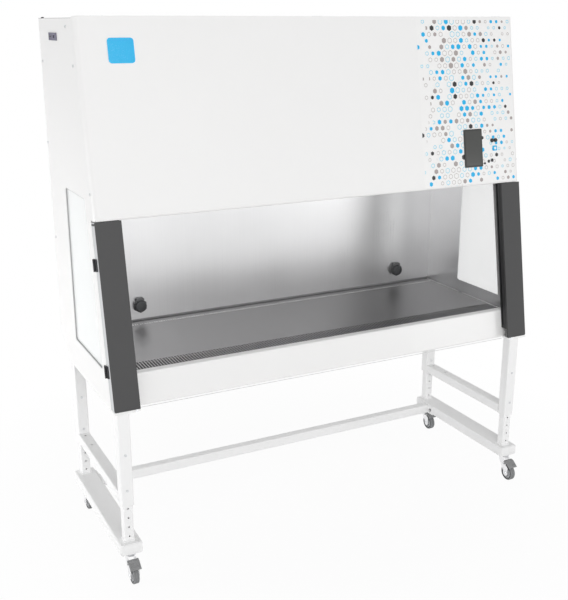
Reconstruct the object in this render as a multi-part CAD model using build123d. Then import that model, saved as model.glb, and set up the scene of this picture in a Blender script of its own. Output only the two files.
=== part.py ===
from build123d import *
import math
import os

# Biosafety cabinet on a wheeled, height-adjustable stand. Millimetres, +Z up, +X to the user's
# right, front towards -Y. Origin: centre of the bounding box, on the floor.

# ---- driving dimensions ----
cabinet_width = 1950.0
panel_top_z = 2123.5
cabinet_bottom_z = 720.0
cabinet_depth = 770.0          # back face to front plane, at the bottom
front_lean = 9.9               # lean of the front plane from the vertical, degrees
side_wall = 75.0               # outer face to chamber face
skin = 2.0                     # painted sheet
liner_sheet = 2.0              # stainless sheet
bend_radius = 6.0
chamfer_depth = 127.0          # cut-off corner at the bottom of the back
chamfer_height = 104.0
front_edge_depth = 44.0        # front edges of the walls, behind the front plane

# stand
foot_width = 88.0
foot_height = 47.0
foot_wall = 3.0
foot_bottom_z = 120.0
foot_back_gap = 64.0           # back face of the cabinet to the rear end of the foot
foot_front_gap = 11.0          # lower front edge of the cabinet to the front end of the foot
leg_inset = 39.0               # leg axis from the cabinet's outer face
front_leg_inset = 42.0         # leg axis from the front end of the foot
rear_leg_inset = 25.5
inner_tube = 40.0
outer_tube = 50.0
tube_wall = 3.0
sleeve_bottom_z = 323.0
sleeve_pin_z = 388.0           # lower pair of locking bolts
pin_pitch = 150.0              # between the two locking bolts of a leg
leg_hole_pitch = 40.0
leg_hole_radius = 3.5
leg_hole_count = 12
first_hole_rise = 21.0         # above the top of the foot
leg_overlap = 300.0            # length of inner tube inside its sleeve
bush_height = 26.0             # glide bush at the sleeve's lower end
lift_travel = 200.0
rail_height = 43.0
rail_hole_radius = 5.5
rail_hole_pitch = 102.0
rail_hole_inset = 24.0         # first hole from the rear sleeve
crossbar_height = 44.0
crossbar_depth = 43.0
crossbar_wall = 2.5
crossbar_back_inset = 67.0     # rear end of the foot to the back of the crossbar
flange_thickness = 4.0
flange_reach = 38.0

# castors
wheel_radius = 37.5
wheel_width = 25.0
tyre_depth = 7.0
axle_radius = 4.0
castor_trail = 35.0
stem_inset = 24.0              # castor axis from the end of the foot
race_radius = 21.0
race_height = 9.0
kingpin_radius = 6.0
fork_sheet = 3.5
fork_gap = 1.2                 # wheel to fork, each side
pedal_width = 45.0
pedal_plate = 4.5
pedal_pivot_radius = 3.5
pedal_swing = 9.0

# front
fascia_over_top = 8.5          # top edge above the top panel, at the front plane
fascia_drop = 708.0            # height of the fascia
fascia_depth = 22.0
fascia_corner_radius = 19.0
bar_width = 100.0
bar_sill_gap = 1.0             # bar to the sill under it
bar_top_gap = 1.5              # bar to fascia
bar_depth = 42.0
bar_cover = 3.0
bar_corner_radius = 7.0
sill_height = 8.5
guide_width = 28.0
guide_front_depth = 12.0
guide_foot_rise = 46.0         # guide's foot above the cabinet's bottom
guide_top_drop = 25.5          # guide's top below the top panel
guide_flange = 4.0
guide_flange_width = 34.0
glass_sheet = 6.0
glass_depth = 30.0             # front of the sash glass behind the front plane
glass_length = 662.0
glass_play = 0.5               # glass to guide, each face
sash_engagement = 11.0         # glass edge inside its guide
sash_rest_rise = 10.0          # raised sash above the fascia's bottom edge
sash_overlap = 9.0             # closed sash below the top of the apron
apron_rise = 2.0               # top of the apron above the tray
apron_lip = 30.0               # top flange of the apron, from the front edges to the tray
base_flange = 40.0

# work chamber
back_wall_depth = 93.0         # air duct behind the chamber's back wall
work_surface_z = 845.0
tray_side_gap = 4.5
tray_skirt = 24.0
slot_pitch = 12.0
slot_width = 6.0
slot_length = 78.0
slot_inset = 4.0               # from the tray's front edge
rear_hole_pitch = 22.0
rear_hole_width = 12.0
rear_hole_depth = 5.0
rear_row_inset = 52.0          # back edge of the tray to the rear row
notch_radius = 8.0
sump_depth = 70.0
ceiling_rise = 76.0            # ceiling above the fascia's bottom edge
frame_height = 10.0
filter_height = 68.0
filter_side = 25.0
plenum_height = 380.0
exhaust_length = 610.0
exhaust_width = 320.0
exhaust_height = 90.0
gland_inset_left = 252.0       # gland axes from the chamber's side faces
gland_inset_right = 203.0
gland_rise = 70.0              # above the tray
gland_thread_radius = 25.0
gland_bore_radius = 16.0
gland_flat = 54.0
gland_reach = 30.0
gland_nut_height = 17.0
gland_cap_radius = 25.0
gland_tail = 30.0              # thread behind the wall

# side windows: opening in the outer wall, and a smaller one in the stainless liner
window_sill = 12.0             # opening above the tray
window_head = 10.0             # opening below the ceiling
window_rear_gap = 249.0        # from the cabinet's back face
window_front_depth = 105.0
window_radius = 12.0
window_glass = 6.0
window_land = 12.0             # glass edge beyond the opening
seal_height = 4.0
seal_lip = 3.0
liner_window_sill = 55.0
liner_window_head = 50.0
liner_window_rear_gap = 341.0
liner_window_front_depth = 75.0
window_box_wall = 3.0          # box round the pane, from the skin to the liner

# side hinges of the bars
hinge_leaf = 4.0
hinge_height = 46.0
hinge_leaf_width = 20.0
hinge_axis_out = 5.5           # axis outside the wall's face
hinge_knuckle_radius = 5.0
hinge_pin_radius = 2.0
lower_hinge_rise = 140.5       # above the bar's foot
upper_hinge_drop = 160.5       # below the bar's top

# top hinges of the fascia
top_hinge_length = 46.0
top_hinge_inset = 88.0         # outer hinges from the cabinet's outer face
top_hinge_radius = 4.0
top_leaf_reach = 34.0          # fixed leaf, from the hinge axis back over the top panel

# controls on the fascia
screen_inset = 248.0           # controls: from the right outer face and above the fascia's foot
screen_rise = 159.0
screen_width = 98.0
screen_height = 164.0
screen_proud = 2.5
button_inset = 134.0
button_rise = 187.0
button_pitch = 18.5
button_radius = 8.0
button_travel = 3.0
button_proud = 7.0
power_inset = 130.0
power_rise = 153.0
power_size = 23.0
lock_inset = 148.0
lock_rise = 102.0
lock_radius = 7.0
body_clear = 0.3               # between bodies whose flat or curved faces slide past each other

# mains inlet on the left side
inlet_drop = 65.5              # centre, below the top panel
inlet_length = 113.0
inlet_height = 28.0
inlet_proud = 4.0
socket_depth = 13.0
inlet_back_gap = 225.0         # centre, from the cabinet's back face

# lamp
lamp_inset = 280.0             # reflector's end from the chamber's side face
lamp_end = 30.0                # tube's end inside the reflector's end
lamp_radius = 8.0
lamp_front_gap = 45.0          # tube's axis behind the front of the ceiling
lamp_drop = 24.0               # tube's axis under the diffuser
lamp_holder = 12.0

# blower
blower_x = -360.0
blower_radius = 140.0
blower_width = 70.0
blower_eye = 85.0
blower_blades = 9
motor_radius = 48.0
motor_plate_margin = 20.0      # plate beyond the wheel's rim
motor_rod_inset = 12.0
motor_length = 60.0
motor_plate = 4.0
shaft_radius = 7.0
running_clear = 0.05

# ---- derived positions ----
half_width = cabinet_width / 2
chamber_half = half_width - side_wall
foot_length = cabinet_depth - foot_back_gap - foot_front_gap
stand_depth = foot_back_gap + foot_length - stem_inset + castor_trail + wheel_radius
back_y = stand_depth / 2
foot_rear_y = back_y - foot_back_gap
foot_front_y = foot_rear_y - foot_length
foot_top_z = foot_bottom_z + foot_height
front_leg_y = foot_front_y + front_leg_inset
rear_leg_y = foot_rear_y - rear_leg_inset
lean = math.radians(front_lean)
front_foot_y = back_y - cabinet_depth
back_wall_y = back_y - back_wall_depth
liner_face = chamber_half + liner_sheet
leg_x = half_width - leg_inset
fascia_top_z = panel_top_z + fascia_over_top
fascia_bottom_z = fascia_top_z - fascia_drop
bar_bottom_z = cabinet_bottom_z + sill_height + bar_sill_gap
bar_top_z = fascia_bottom_z - bar_top_gap
lower_hinge_z = bar_bottom_z + lower_hinge_rise
upper_hinge_z = bar_top_z - upper_hinge_drop
guide_bottom_z = cabinet_bottom_z + guide_foot_rise
guide_top_z = panel_top_z - guide_top_drop
ceiling_z = fascia_bottom_z + ceiling_rise
apron_top_z = work_surface_z + apron_rise
sash_rest_z = fascia_bottom_z + sash_rest_rise
sash_closed_z = apron_top_z - sash_overlap
window_bottom_z = work_surface_z + window_sill
window_top_z = ceiling_z - window_head
liner_window_bottom_z = work_surface_z + liner_window_sill
liner_window_top_z = ceiling_z - liner_window_head
gland_places = (gland_inset_left - chamber_half, chamber_half - gland_inset_right)
gland_z = work_surface_z + gland_rise
top_hinge_x = half_width - top_hinge_inset
screen_x = half_width - screen_inset
screen_z = fascia_bottom_z + screen_rise
button_x = half_width - button_inset
button_z = fascia_bottom_z + button_rise
power_x = half_width - power_inset
power_z = fascia_bottom_z + power_rise
lock_x = half_width - lock_inset
lock_z = fascia_bottom_z + lock_rise
inlet_z = panel_top_z - inlet_drop

parts = {}


def front(z, depth=0.0):
    """y of the plane that lies `depth` behind the sloping front plane, at height z."""
    return front_foot_y + (z - cabinet_bottom_z) * math.tan(lean) + depth / math.cos(lean)


def yz_face(points, x):
    return Plane.YZ.offset(x) * make_face(Polyline(*points, close=True))


def prism(points, x0, x1):
    """Solid with a (y, z) outline, from x0 to x1."""
    return extrude(yz_face(points, x0), amount=x1 - x0)


def block(x0, x1, y0, y1, z0, z1):
    size = (x1 - x0, y1 - y0, z1 - z0)
    return Pos((x0 + x1) / 2, (y0 + y1) / 2, (z0 + z1) / 2) * Box(*size)


def slab(x0, x1, z0, z1, d0, d1):
    """Sloping slab between two depths behind the front plane, with level ends."""
    points = [(front(z0, d0), z0), (front(z0, d1), z0), (front(z1, d1), z1), (front(z1, d0), z1)]
    return prism(points, x0, x1)


def square_slab(x0, x1, z0, z1, d0, d1):
    """Sloping slab with a level foot and its top square to the slope, z1 taken at the front plane."""
    top = [(front(z1) + d * math.cos(lean), z1 - d * math.sin(lean)) for d in (d1, d0)]
    return prism([(front(z0, d0), z0), (front(z0, d1), z0)] + top, x0, x1)


def bent_sheet(points, x0, x1, thickness, radius=bend_radius):
    """Folded sheet that follows a (y, z) path, its middle on the path."""
    path = FilletPolyline(*points, radius=radius)
    section = trace(path, line_width=thickness)
    return extrude(Plane.YZ.offset(x0) * section, amount=x1 - x0)


def leg_tube(width, depth, z0, z1, wall):
    outer = RectangleRounded(width, depth, 2 * wall)
    inner = RectangleRounded(width - 2 * wall, depth - 2 * wall, wall)
    return Pos(0, 0, z0) * extrude(outer - inner, amount=z1 - z0)


def mirrored(shape):
    return mirror(shape, about=Plane.YZ)


def both_sides(name, shape):
    """Keeps a left-hand shape and its mirror image as two nodes."""
    parts[name + "_left"] = shape
    parts[name + "_right"] = mirrored(shape)


def pair(shape):
    """A left-hand piece and its mirror image, which share one node."""
    return [shape, mirrored(shape)]


def face_frame(x, z):
    """Plane on the front face at (x, z): local x across, y up the slope, z outwards."""
    return Plane(origin=(x, front(z), z), x_dir=(1, 0, 0),
                 z_dir=(0, -math.cos(lean), math.sin(lean)))


# ---- stand ----
def foot():
    tube = Plane.XZ * RectangleRounded(foot_width, foot_height, 2 * foot_wall)
    bore = Plane.XZ * RectangleRounded(foot_width - 2 * foot_wall, foot_height - 2 * foot_wall, foot_wall)
    body = extrude(tube - bore, amount=-foot_length)
    ends = extrude(Plane.XZ * RectangleRounded(foot_width, foot_height, 2 * foot_wall), amount=-foot_wall)
    body = body + ends + Pos(0, foot_length - foot_wall, 0) * ends
    return Pos(-leg_x, foot_front_y, foot_bottom_z + foot_height / 2) * body


def inner_leg(y):
    top = sleeve_bottom_z + leg_overlap
    tube = leg_tube(inner_tube, inner_tube, foot_top_z, top, tube_wall)
    for i in range(leg_hole_count):
        z = foot_top_z + first_hole_rise + i * leg_hole_pitch
        tube -= Pos(0, 0, z) * Rot(90, 0, 0) * Cylinder(leg_hole_radius, inner_tube + 2)
    return Pos(-leg_x, y, 0) * tube


def sleeve(y):
    body = leg_tube(outer_tube, outer_tube, sleeve_bottom_z, panel_top_z, tube_wall)
    for z in (sleeve_pin_z, sleeve_pin_z + pin_pitch):
        body -= Pos(0, 0, z) * Rot(90, 0, 0) * Cylinder(leg_hole_radius, outer_tube + 2)
    body = Pos(-leg_x, y, 0) * body
    bush = extrude(Rectangle(outer_tube - 2 * tube_wall, outer_tube - 2 * tube_wall)
                   - Rectangle(inner_tube + 2 * body_clear, inner_tube + 2 * body_clear), amount=bush_height)
    body += Pos(-leg_x, y, sleeve_bottom_z) * bush
    # The top is trimmed to the underside of the cabinet, which turns up at the back.
    low = cabinet_bottom_z
    under = [(front_foot_y, 0), (back_y, 0), (back_y, low + chamfer_height),
             (back_y - chamfer_depth, low), (front_foot_y, low)]
    return body & prism(under, -half_width - 10, 0)


def side_rail():
    y0 = front_leg_y + outer_tube / 2
    y1 = rear_leg_y - outer_tube / 2
    section = RectangleRounded(outer_tube, rail_height, 2 * tube_wall)
    section -= RectangleRounded(outer_tube - 2 * tube_wall, rail_height - 2 * tube_wall, tube_wall)
    rail = extrude(Plane.XZ * section, amount=-(y1 - y0))
    rail = Pos(-leg_x, y0, sleeve_bottom_z + rail_height / 2) * rail
    for i in range(2):
        y = y1 - rail_hole_inset - i * rail_hole_pitch
        rail -= Pos(-leg_x, y, sleeve_bottom_z + rail_height) * Cylinder(rail_hole_radius, 4 * tube_wall)
    return rail


def crossbar():
    back = foot_rear_y - crossbar_back_inset
    reach = leg_x - foot_width / 2
    mid_y = back - crossbar_depth / 2
    mid_z = foot_bottom_z + crossbar_height / 2
    section = RectangleRounded(crossbar_depth, crossbar_height, 2 * crossbar_wall)
    section -= RectangleRounded(crossbar_depth - 2 * crossbar_wall,
                                crossbar_height - 2 * crossbar_wall, crossbar_wall)
    bar = extrude(Plane.YZ * section, amount=reach, both=True)
    bar = Pos(0, mid_y, mid_z) * bar
    for side in (-1, 1):
        x = side * (reach - flange_thickness / 2)
        plate = Box(flange_thickness, crossbar_depth + 2 * flange_reach, crossbar_height)
        plate -= Box(2 * flange_thickness, crossbar_depth - 2 * crossbar_wall,
                     crossbar_height - 2 * crossbar_wall)
        bar += Pos(x, mid_y, mid_z) * plate
    return bar


def hex_bolt(radius, length, head):
    """Bolt along +Z: the head sits under z = 0 and the shank rises above it."""
    top = extrude(RegularPolygon(1.7 * radius, 6), amount=-head)
    return top + extrude(Circle(radius), amount=length)


def crossbar_bolts():
    group = []
    y = foot_rear_y - crossbar_back_inset - crossbar_depth / 2
    offset = crossbar_depth / 2 + flange_reach / 2
    face = leg_x - foot_width / 2 - flange_thickness
    for side in (-1, 1):
        for step in (-1, 1):
            head = Rot(0, side * 90, 0) * hex_bolt(4, 3, 4)
            group.append(Pos(side * face, y + step * offset, foot_bottom_z + crossbar_height / 2) * head)
    return group


def locking_bolts():
    """Bolts that lock the sleeves on the inner legs: a head and a shank at each of eight places."""
    group = []
    for x in (-leg_x, leg_x):
        for y in (front_leg_y, rear_leg_y):
            for z in (sleeve_pin_z, sleeve_pin_z + pin_pitch):
                head = Rot(-90, 0, 0) * hex_bolt(leg_hole_radius - 0.3, tube_wall, 3.5)
                group.append(Pos(x, y - outer_tube / 2, z) * head)
    return group


# ---- castors ----
fork_inner = wheel_width / 2 + fork_gap
fork_outer = fork_inner + fork_sheet
race_bottom_z = foot_bottom_z - race_height
crown_z = race_bottom_z - body_clear
pedal_pivot_y = 12.0           # behind the wheel's axle
pedal_pivot_z = wheel_radius + 47.0


def castor_race():
    race = Pos(0, 0, race_bottom_z) * extrude(Circle(race_radius), amount=race_height)
    race = chamfer(race.edges().group_by(Axis.Z)[0], 2)
    pin_bottom = crown_z - fork_sheet - 6
    pin = Pos(0, 0, pin_bottom) * extrude(Circle(kingpin_radius), amount=race_bottom_z - pin_bottom)
    return race + pin


def castor_fork():
    """Fork about the swivel axis; the axle lies `castor_trail` towards -Y."""
    crown = Pos(0, 0, crown_z - fork_sheet) * extrude(Circle(race_radius), amount=fork_sheet)
    rear, nose = race_radius - 4, -castor_trail
    outline = make_face(Polyline((rear, crown_z), (rear - 2, crown_z - 22), (nose + 9, wheel_radius - 6),
                                 (nose - 7, wheel_radius - 6), (nose - 11, wheel_radius + 6),
                                 (nose + 6, crown_z - 24), (-race_radius + 3, crown_z - 14),
                                 (-race_radius + 6, crown_z), close=True))
    outline = fillet(outline.vertices().sort_by(Axis.Y)[:3], 4)
    cheek = extrude(Plane.YZ.offset(fork_inner) * outline, amount=fork_sheet)
    body = crown + cheek + mirrored(cheek)
    bridge = block(-fork_inner, fork_inner, -race_radius + 8, rear - 2, crown_z - fork_sheet, crown_z)
    body += bridge
    body -= Pos(0, 0, crown_z) * Cylinder(kingpin_radius + running_clear, 4 * fork_sheet)
    axle = Pos(0, -castor_trail, wheel_radius) * Rot(0, 90, 0) * Cylinder(axle_radius, 2 * fork_outer + 3)
    body += axle
    pivot_y = -castor_trail + pedal_pivot_y
    for side in (-1, 1):
        pin = Pos(side * (fork_outer + 2), pivot_y, pedal_pivot_z) * Rot(0, 90, 0)
        body += pin * Cylinder(pedal_pivot_radius, 6)
    return body


def wheel_hub():
    inner = wheel_radius - tyre_depth
    half = wheel_width / 2
    profile = make_face(Polyline((axle_radius + running_clear, -half), (11, -half), (13, -4), (23, -3),
                                 (25, -half + 2), (inner, -half + 2), (inner, half - 2), (25, half - 2),
                                 (23, 3), (13, 4), (11, half), (axle_radius + running_clear, half),
                                 close=True))
    hub = revolve(Plane.XZ * profile, Axis.Z)
    for i in range(5):
        window = Rot(0, 0, 72 * i) * Pos(18, 0, 0) * Box(7, 9, wheel_width)
        hub -= window
    return Rot(0, 90, 0) * hub


def wheel_tyre():
    inner = wheel_radius - tyre_depth
    half = wheel_width / 2 - 1
    ring = Rectangle(tyre_depth, 2 * half)
    ring = fillet(ring.vertices().sort_by(Axis.X)[2:], 3.5)
    return Rot(0, 90, 0) * revolve(Plane.XZ * Pos(inner + tyre_depth / 2, 0) * ring, Axis.Z)


def brake_pedal():
    """Tread plate over the wheel, on two ears outside the fork; local to the wheel's axle."""
    y, z = pedal_pivot_y, pedal_pivot_z
    heel, toe = (10, z + 12), (-32, wheel_radius + 36)
    plate = bent_sheet([heel, (-4, z + 10), toe], -pedal_width / 2, pedal_width / 2, pedal_plate, 8)
    for i in range(5):
        t = (i + 1) / 6
        rib_y = -4 + t * (toe[0] + 4)
        rib_z = z + 10 + t * (toe[1] - z - 10)
        plate += block(-pedal_width / 2 + 4, pedal_width / 2 - 4, rib_y - 1.2, rib_y + 1.2,
                       rib_z, rib_z + 4)
    ear = make_face(Polyline((y - 7, z - 4), (y - 3, z - 7), (y + 3, z - 7), (y + 7, z - 3),
                             (10, z + 11), (-5, z + 9.5), close=True))
    x0 = fork_outer + body_clear
    ear = extrude(Plane.YZ.offset(x0) * ear, amount=4)
    ear -= Pos(x0 + 2, y, z) * Rot(0, 90, 0) * Cylinder(pedal_pivot_radius + running_clear, 12)
    return plate + ear + mirrored(ear)


def place_castors():
    races = []
    for end, stem_y in (("front", foot_front_y + stem_inset), ("rear", foot_rear_y - stem_inset)):
        for side, x in (("left", -leg_x), ("right", leg_x)):
            stem = Pos(x, stem_y, 0)
            axle = Pos(x, stem_y - castor_trail, wheel_radius)
            races.append(stem * castor_race())
            name = end + "_" + side
            parts["castor_fork_" + name] = stem * castor_fork()
            parts["castor_wheel_" + name] = [axle * wheel_hub(), axle * wheel_tyre()]
            parts["brake_pedal_" + name] = Pos(x, stem_y - castor_trail, 0) * brake_pedal()
    parts["castor_races"] = races


# ---- cabinet walls ----
def side_outline(depth):
    """Side view of the cabinet, its front edge `depth` behind the front plane."""
    low = cabinet_bottom_z
    return [(back_y, panel_top_z), (back_y, low + chamfer_height), (back_y - chamfer_depth, low),
            (front(low, depth), low), (front(panel_top_z, depth), panel_top_z)]


def window_face(x, bottom_z, top_z, rear_gap, front_depth, grow=0.0):
    rear = back_y - rear_gap + grow
    low, high = bottom_z - grow, top_z + grow
    depth = front_depth - grow
    corners = [(rear, low), (front(low, depth), low), (front(high, depth), high), (rear, high)]
    face = make_face(Polyline(*corners, close=True))
    return Plane.YZ.offset(x) * fillet(face.vertices(), window_radius + max(grow, 0))


def outer_window(x, grow=0.0):
    return window_face(x, window_bottom_z, window_top_z, window_rear_gap, window_front_depth, grow)


seal_x = -half_width + skin


def side_panel():
    """Painted pan: outer skin with folded edges, a framed window and a sill under the bar."""
    outline = make_face(Polyline(*side_outline(front_edge_depth), close=True))
    pan = extrude(Plane.YZ.offset(-half_width) * outline, amount=side_wall - liner_sheet)
    pocket = offset(outline, amount=-skin)
    pan -= extrude(Plane.YZ.offset(-half_width + skin) * pocket, amount=side_wall)
    margin = window_land + body_clear
    pan += extrude(outer_window(-half_width + skin, margin + window_box_wall), amount=-liner_face - seal_x)
    pan -= extrude(outer_window(-half_width + skin, margin), amount=side_wall)
    pan -= extrude(outer_window(-half_width - 1), amount=skin + 2)
    step = fascia_depth + 1
    pan += slab(-half_width, -half_width + skin, fascia_bottom_z, panel_top_z, step, front_edge_depth)
    pan += slab(-half_width, -liner_face, panel_top_z - skin, panel_top_z, step, front_edge_depth)
    sill_top = cabinet_bottom_z + sill_height
    pan += slab(-half_width, -half_width + bar_width, cabinet_bottom_z, sill_top, 0, front_edge_depth)
    return pan


def side_liner():
    """Stainless wall of the work chamber, from the base up to the ceiling frame."""
    d, low, top = front_edge_depth + skin, cabinet_bottom_z + skin, ceiling_z + frame_height
    points = [(back_wall_y, low), (front(low, d), low), (front(top, d), top), (back_wall_y, top)]
    inner = offset(make_face(Polyline(*side_outline(front_edge_depth), close=True)), amount=-skin)
    sheet = prism(points, -liner_face, -chamber_half)
    sheet &= extrude(Plane.YZ.offset(-liner_face) * inner, amount=liner_sheet)
    hole = window_face(-liner_face - 1, liner_window_bottom_z, liner_window_top_z,
                       liner_window_rear_gap, liner_window_front_depth)
    return sheet - extrude(hole, amount=liner_sheet + 2)


def side_window():
    pane = outer_window(seal_x + seal_height, window_land)
    return extrude(pane, amount=window_glass)


def window_seal():
    ring = extrude(outer_window(seal_x, window_land), amount=seal_height)
    return ring - extrude(outer_window(seal_x - 1, -seal_lip), amount=seal_height + 2)


def back_panel():
    y = back_y - skin / 2
    low = cabinet_bottom_z
    path = [(y, panel_top_z - skin), (y, low + chamfer_height), (back_y - chamfer_depth, low + skin / 2)]
    return bent_sheet(path, -liner_face, liner_face, skin)


def base_pan():
    """Floor of the cabinet, between the sloping back corner and the apron."""
    z = cabinet_bottom_z
    return block(-liner_face, liner_face, front(z, front_edge_depth + skin) + base_flange,
                 back_y - chamfer_depth - skin, z, z + skin)


def top_panel():
    z0 = panel_top_z - skin
    deck = block(-liner_face, liner_face, front(panel_top_z, fascia_depth + 1), back_y - skin,
                 z0, panel_top_z)
    hole = block(-exhaust_length / 2, exhaust_length / 2, exhaust_y - exhaust_width / 2,
                 exhaust_y + exhaust_width / 2, z0 - 1, panel_top_z + 1)
    return deck - hole


def chamber_back():
    """Stainless back wall, pierced for the two cable glands."""
    wall = block(-chamber_half, chamber_half, back_wall_y - liner_sheet, back_wall_y,
                 work_surface_z - sump_depth, ceiling_z + frame_height)
    for x in gland_places:
        hole = Pos(x, back_wall_y, gland_z) * Rot(90, 0, 0)
        wall -= hole * Cylinder(gland_thread_radius + body_clear, 10)
    return wall


def apron():
    """White front panel under the opening: top flange, sloping face, bottom flange."""
    half = skin / 2
    d = front_edge_depth + half
    low, high = cabinet_bottom_z + half, apron_top_z - half
    path = [(tray_front_y - body_clear, high), (front(high, d), high), (front(low, d), low),
            (front(low, d) + base_flange, low)]
    return bent_sheet(path, -chamber_half, chamber_half, skin)


# ---- work tray ----
tray_half = chamber_half - tray_side_gap
tray_back_y = back_wall_y - liner_sheet - 1.0
tray_front_y = front(work_surface_z, front_edge_depth) + apron_lip


def tray():
    top = work_surface_z
    plate = block(-tray_half, tray_half, tray_front_y, tray_back_y, top - tray_skirt, top)
    plate = fillet(plate.edges().group_by(Axis.Z)[-1], 1.5)
    inside = liner_sheet
    plate -= block(-tray_half + inside, tray_half - inside, tray_front_y + inside,
                   tray_back_y - inside, top - tray_skirt - 1, top - inside)
    slots = GridLocations(slot_pitch, 1, int((2 * tray_half - 20) / slot_pitch), 1)
    slot = Rectangle(slot_width, slot_length)
    y = tray_front_y + slot_inset + slot_length / 2
    cut = Pos(0, y, top - inside - 1) * extrude(Sketch() + [s * slot for s in slots], amount=inside + 2)
    plate -= cut
    holes = GridLocations(rear_hole_pitch, 1, int((2 * tray_half - 20) / rear_hole_pitch), 1)
    hole = Rectangle(rear_hole_width, rear_hole_depth)
    y = tray_back_y - rear_row_inset
    plate -= Pos(0, y, top - inside - 1) * extrude(Sketch() + [h * hole for h in holes], amount=inside + 2)
    middle = (tray_front_y + tray_back_y) / 2
    for side in (-1, 1):
        plate -= Pos(side * tray_half, middle, top) * Cylinder(notch_radius, 4 * inside)
    return plate


def sump():
    """Drain pan under the tray, whose rim carries the tray's skirt."""
    top = work_surface_z - tray_skirt - body_clear
    y0, y1 = front(work_surface_z, front_edge_depth + skin) + 4, back_wall_y - liner_sheet
    z0 = work_surface_z - sump_depth
    pan = block(-chamber_half, chamber_half, y0, y1, z0, top)
    rim = 12.0
    pan -= block(-chamber_half + liner_sheet, chamber_half - liner_sheet, y0 + liner_sheet,
                 y1 - liner_sheet, z0 + liner_sheet, top - liner_sheet)
    pan -= block(-chamber_half + rim, chamber_half - rim, tray_front_y + rim, y1 - rim,
                 top - 2 * liner_sheet, top + 1)
    return pan


def cable_gland():
    """Gland through the back wall: hexagon, domed cap, locknut and an open bore."""
    hexagon = Rot(0, 0, 30) * RegularPolygon(gland_flat / 2, 6, major_radius=False)
    body = extrude(hexagon, amount=gland_nut_height)
    cap = extrude(Circle(gland_cap_radius), amount=gland_reach)
    body += fillet(cap.edges().group_by(Axis.Z)[-1], 6)
    body += Pos(0, 0, -gland_tail) * extrude(Circle(gland_thread_radius), amount=gland_tail)
    locknut_height = 10.0
    locknut = RegularPolygon(gland_flat / 2 + 1, 6, major_radius=False)
    body += Pos(0, 0, -liner_sheet - locknut_height) * extrude(locknut, amount=locknut_height)
    length = gland_reach + gland_tail
    body -= Pos(0, 0, -gland_tail - 5) * extrude(Circle(gland_bore_radius), amount=length + 10)
    return Rot(90, 0, 0) * body


# ---- filters and blower ----
frame_front_y = front(ceiling_z, front_edge_depth + skin) + 20.0
frame_back_y = back_wall_y - liner_sheet
filter_z = ceiling_z + frame_height
plenum_z = filter_z + filter_height
exhaust_y = frame_back_y - exhaust_width / 2 - 2.0
plenum_front_depth = front_edge_depth + skin + 22.0
plenum_half = liner_face
exhaust_z = plenum_z + plenum_height


def filter_frame():
    z1 = ceiling_z + frame_height
    ring = block(-chamber_half, chamber_half, frame_front_y, frame_back_y, ceiling_z, z1)
    return ring - block(-chamber_half + filter_side, chamber_half - filter_side,
                        frame_front_y + filter_side, frame_back_y - filter_side,
                        ceiling_z - 1, z1 + 1)


def diffuser():
    sheet = block(-chamber_half, chamber_half, frame_front_y, frame_back_y, ceiling_z - liner_sheet, ceiling_z)
    length = chamber_half / 8
    grid = GridLocations(length * 1.35, 60, 10, 6)
    slots = Sketch() + [g * Rectangle(length, 14) for g in grid]
    y = (frame_front_y + frame_back_y) / 2
    return sheet - Pos(0, y, ceiling_z - liner_sheet - 1) * extrude(slots, amount=liner_sheet + 2)


def supply_filter():
    """HEPA pack: rigid frame with a pleated medium inside."""
    x, y0, y1 = chamber_half - 2, frame_front_y + 2, frame_back_y
    box = block(-x, x, y0, y1, filter_z, plenum_z)
    wall = 16.0
    box -= block(-x + wall, x - wall, y0 + wall, y1 - wall, filter_z - 1, plenum_z + 1)
    medium = block(-x + wall, x - wall, y0 + wall, y1 - wall, filter_z + 8, plenum_z - 8)
    return box + medium


def plenum():
    """Pressure box over the supply filter, with the blower's inlet in its back wall."""
    wall = skin
    y1 = frame_back_y
    outline = [(front(plenum_z, plenum_front_depth), plenum_z), (y1, plenum_z), (y1, exhaust_z),
               (front(exhaust_z, plenum_front_depth), exhaust_z)]
    box = prism(outline, -plenum_half, plenum_half)
    pocket = offset(make_face(Polyline(*outline, close=True)), amount=-wall)
    inner = extrude(Plane.YZ.offset(-plenum_half + wall) * pocket, amount=2 * (plenum_half - wall))
    box -= inner + Pos(0, 0, -2 * wall) * inner
    box -= Pos(blower_x, y1, blower_z) * Rot(90, 0, 0) * Cylinder(blower_eye + 12, 20)
    box -= block(-exhaust_length / 2 + 30, exhaust_length / 2 - 30, exhaust_y - exhaust_width / 2 + 30,
                 exhaust_y + exhaust_width / 2 - 30, exhaust_z - 5, exhaust_z + 5)
    ring = Pos(blower_x, y1 - wall, blower_z) * Rot(90, 0, 0)
    return box + ring * inlet_ring()


def exhaust_filter():
    half_x, half_y = exhaust_length / 2 - 6, exhaust_width / 2 - 6
    wall = 16.0
    z1 = exhaust_z + exhaust_height
    box = block(-half_x, half_x, exhaust_y - half_y, exhaust_y + half_y, exhaust_z, z1)
    box -= block(-half_x + wall, half_x - wall, exhaust_y - half_y + wall, exhaust_y + half_y - wall,
                 exhaust_z - 1, z1 + 1)
    return box + block(-half_x + wall, half_x - wall, exhaust_y - half_y + wall,
                       exhaust_y + half_y - wall, exhaust_z + 8, z1 - 8)


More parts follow.
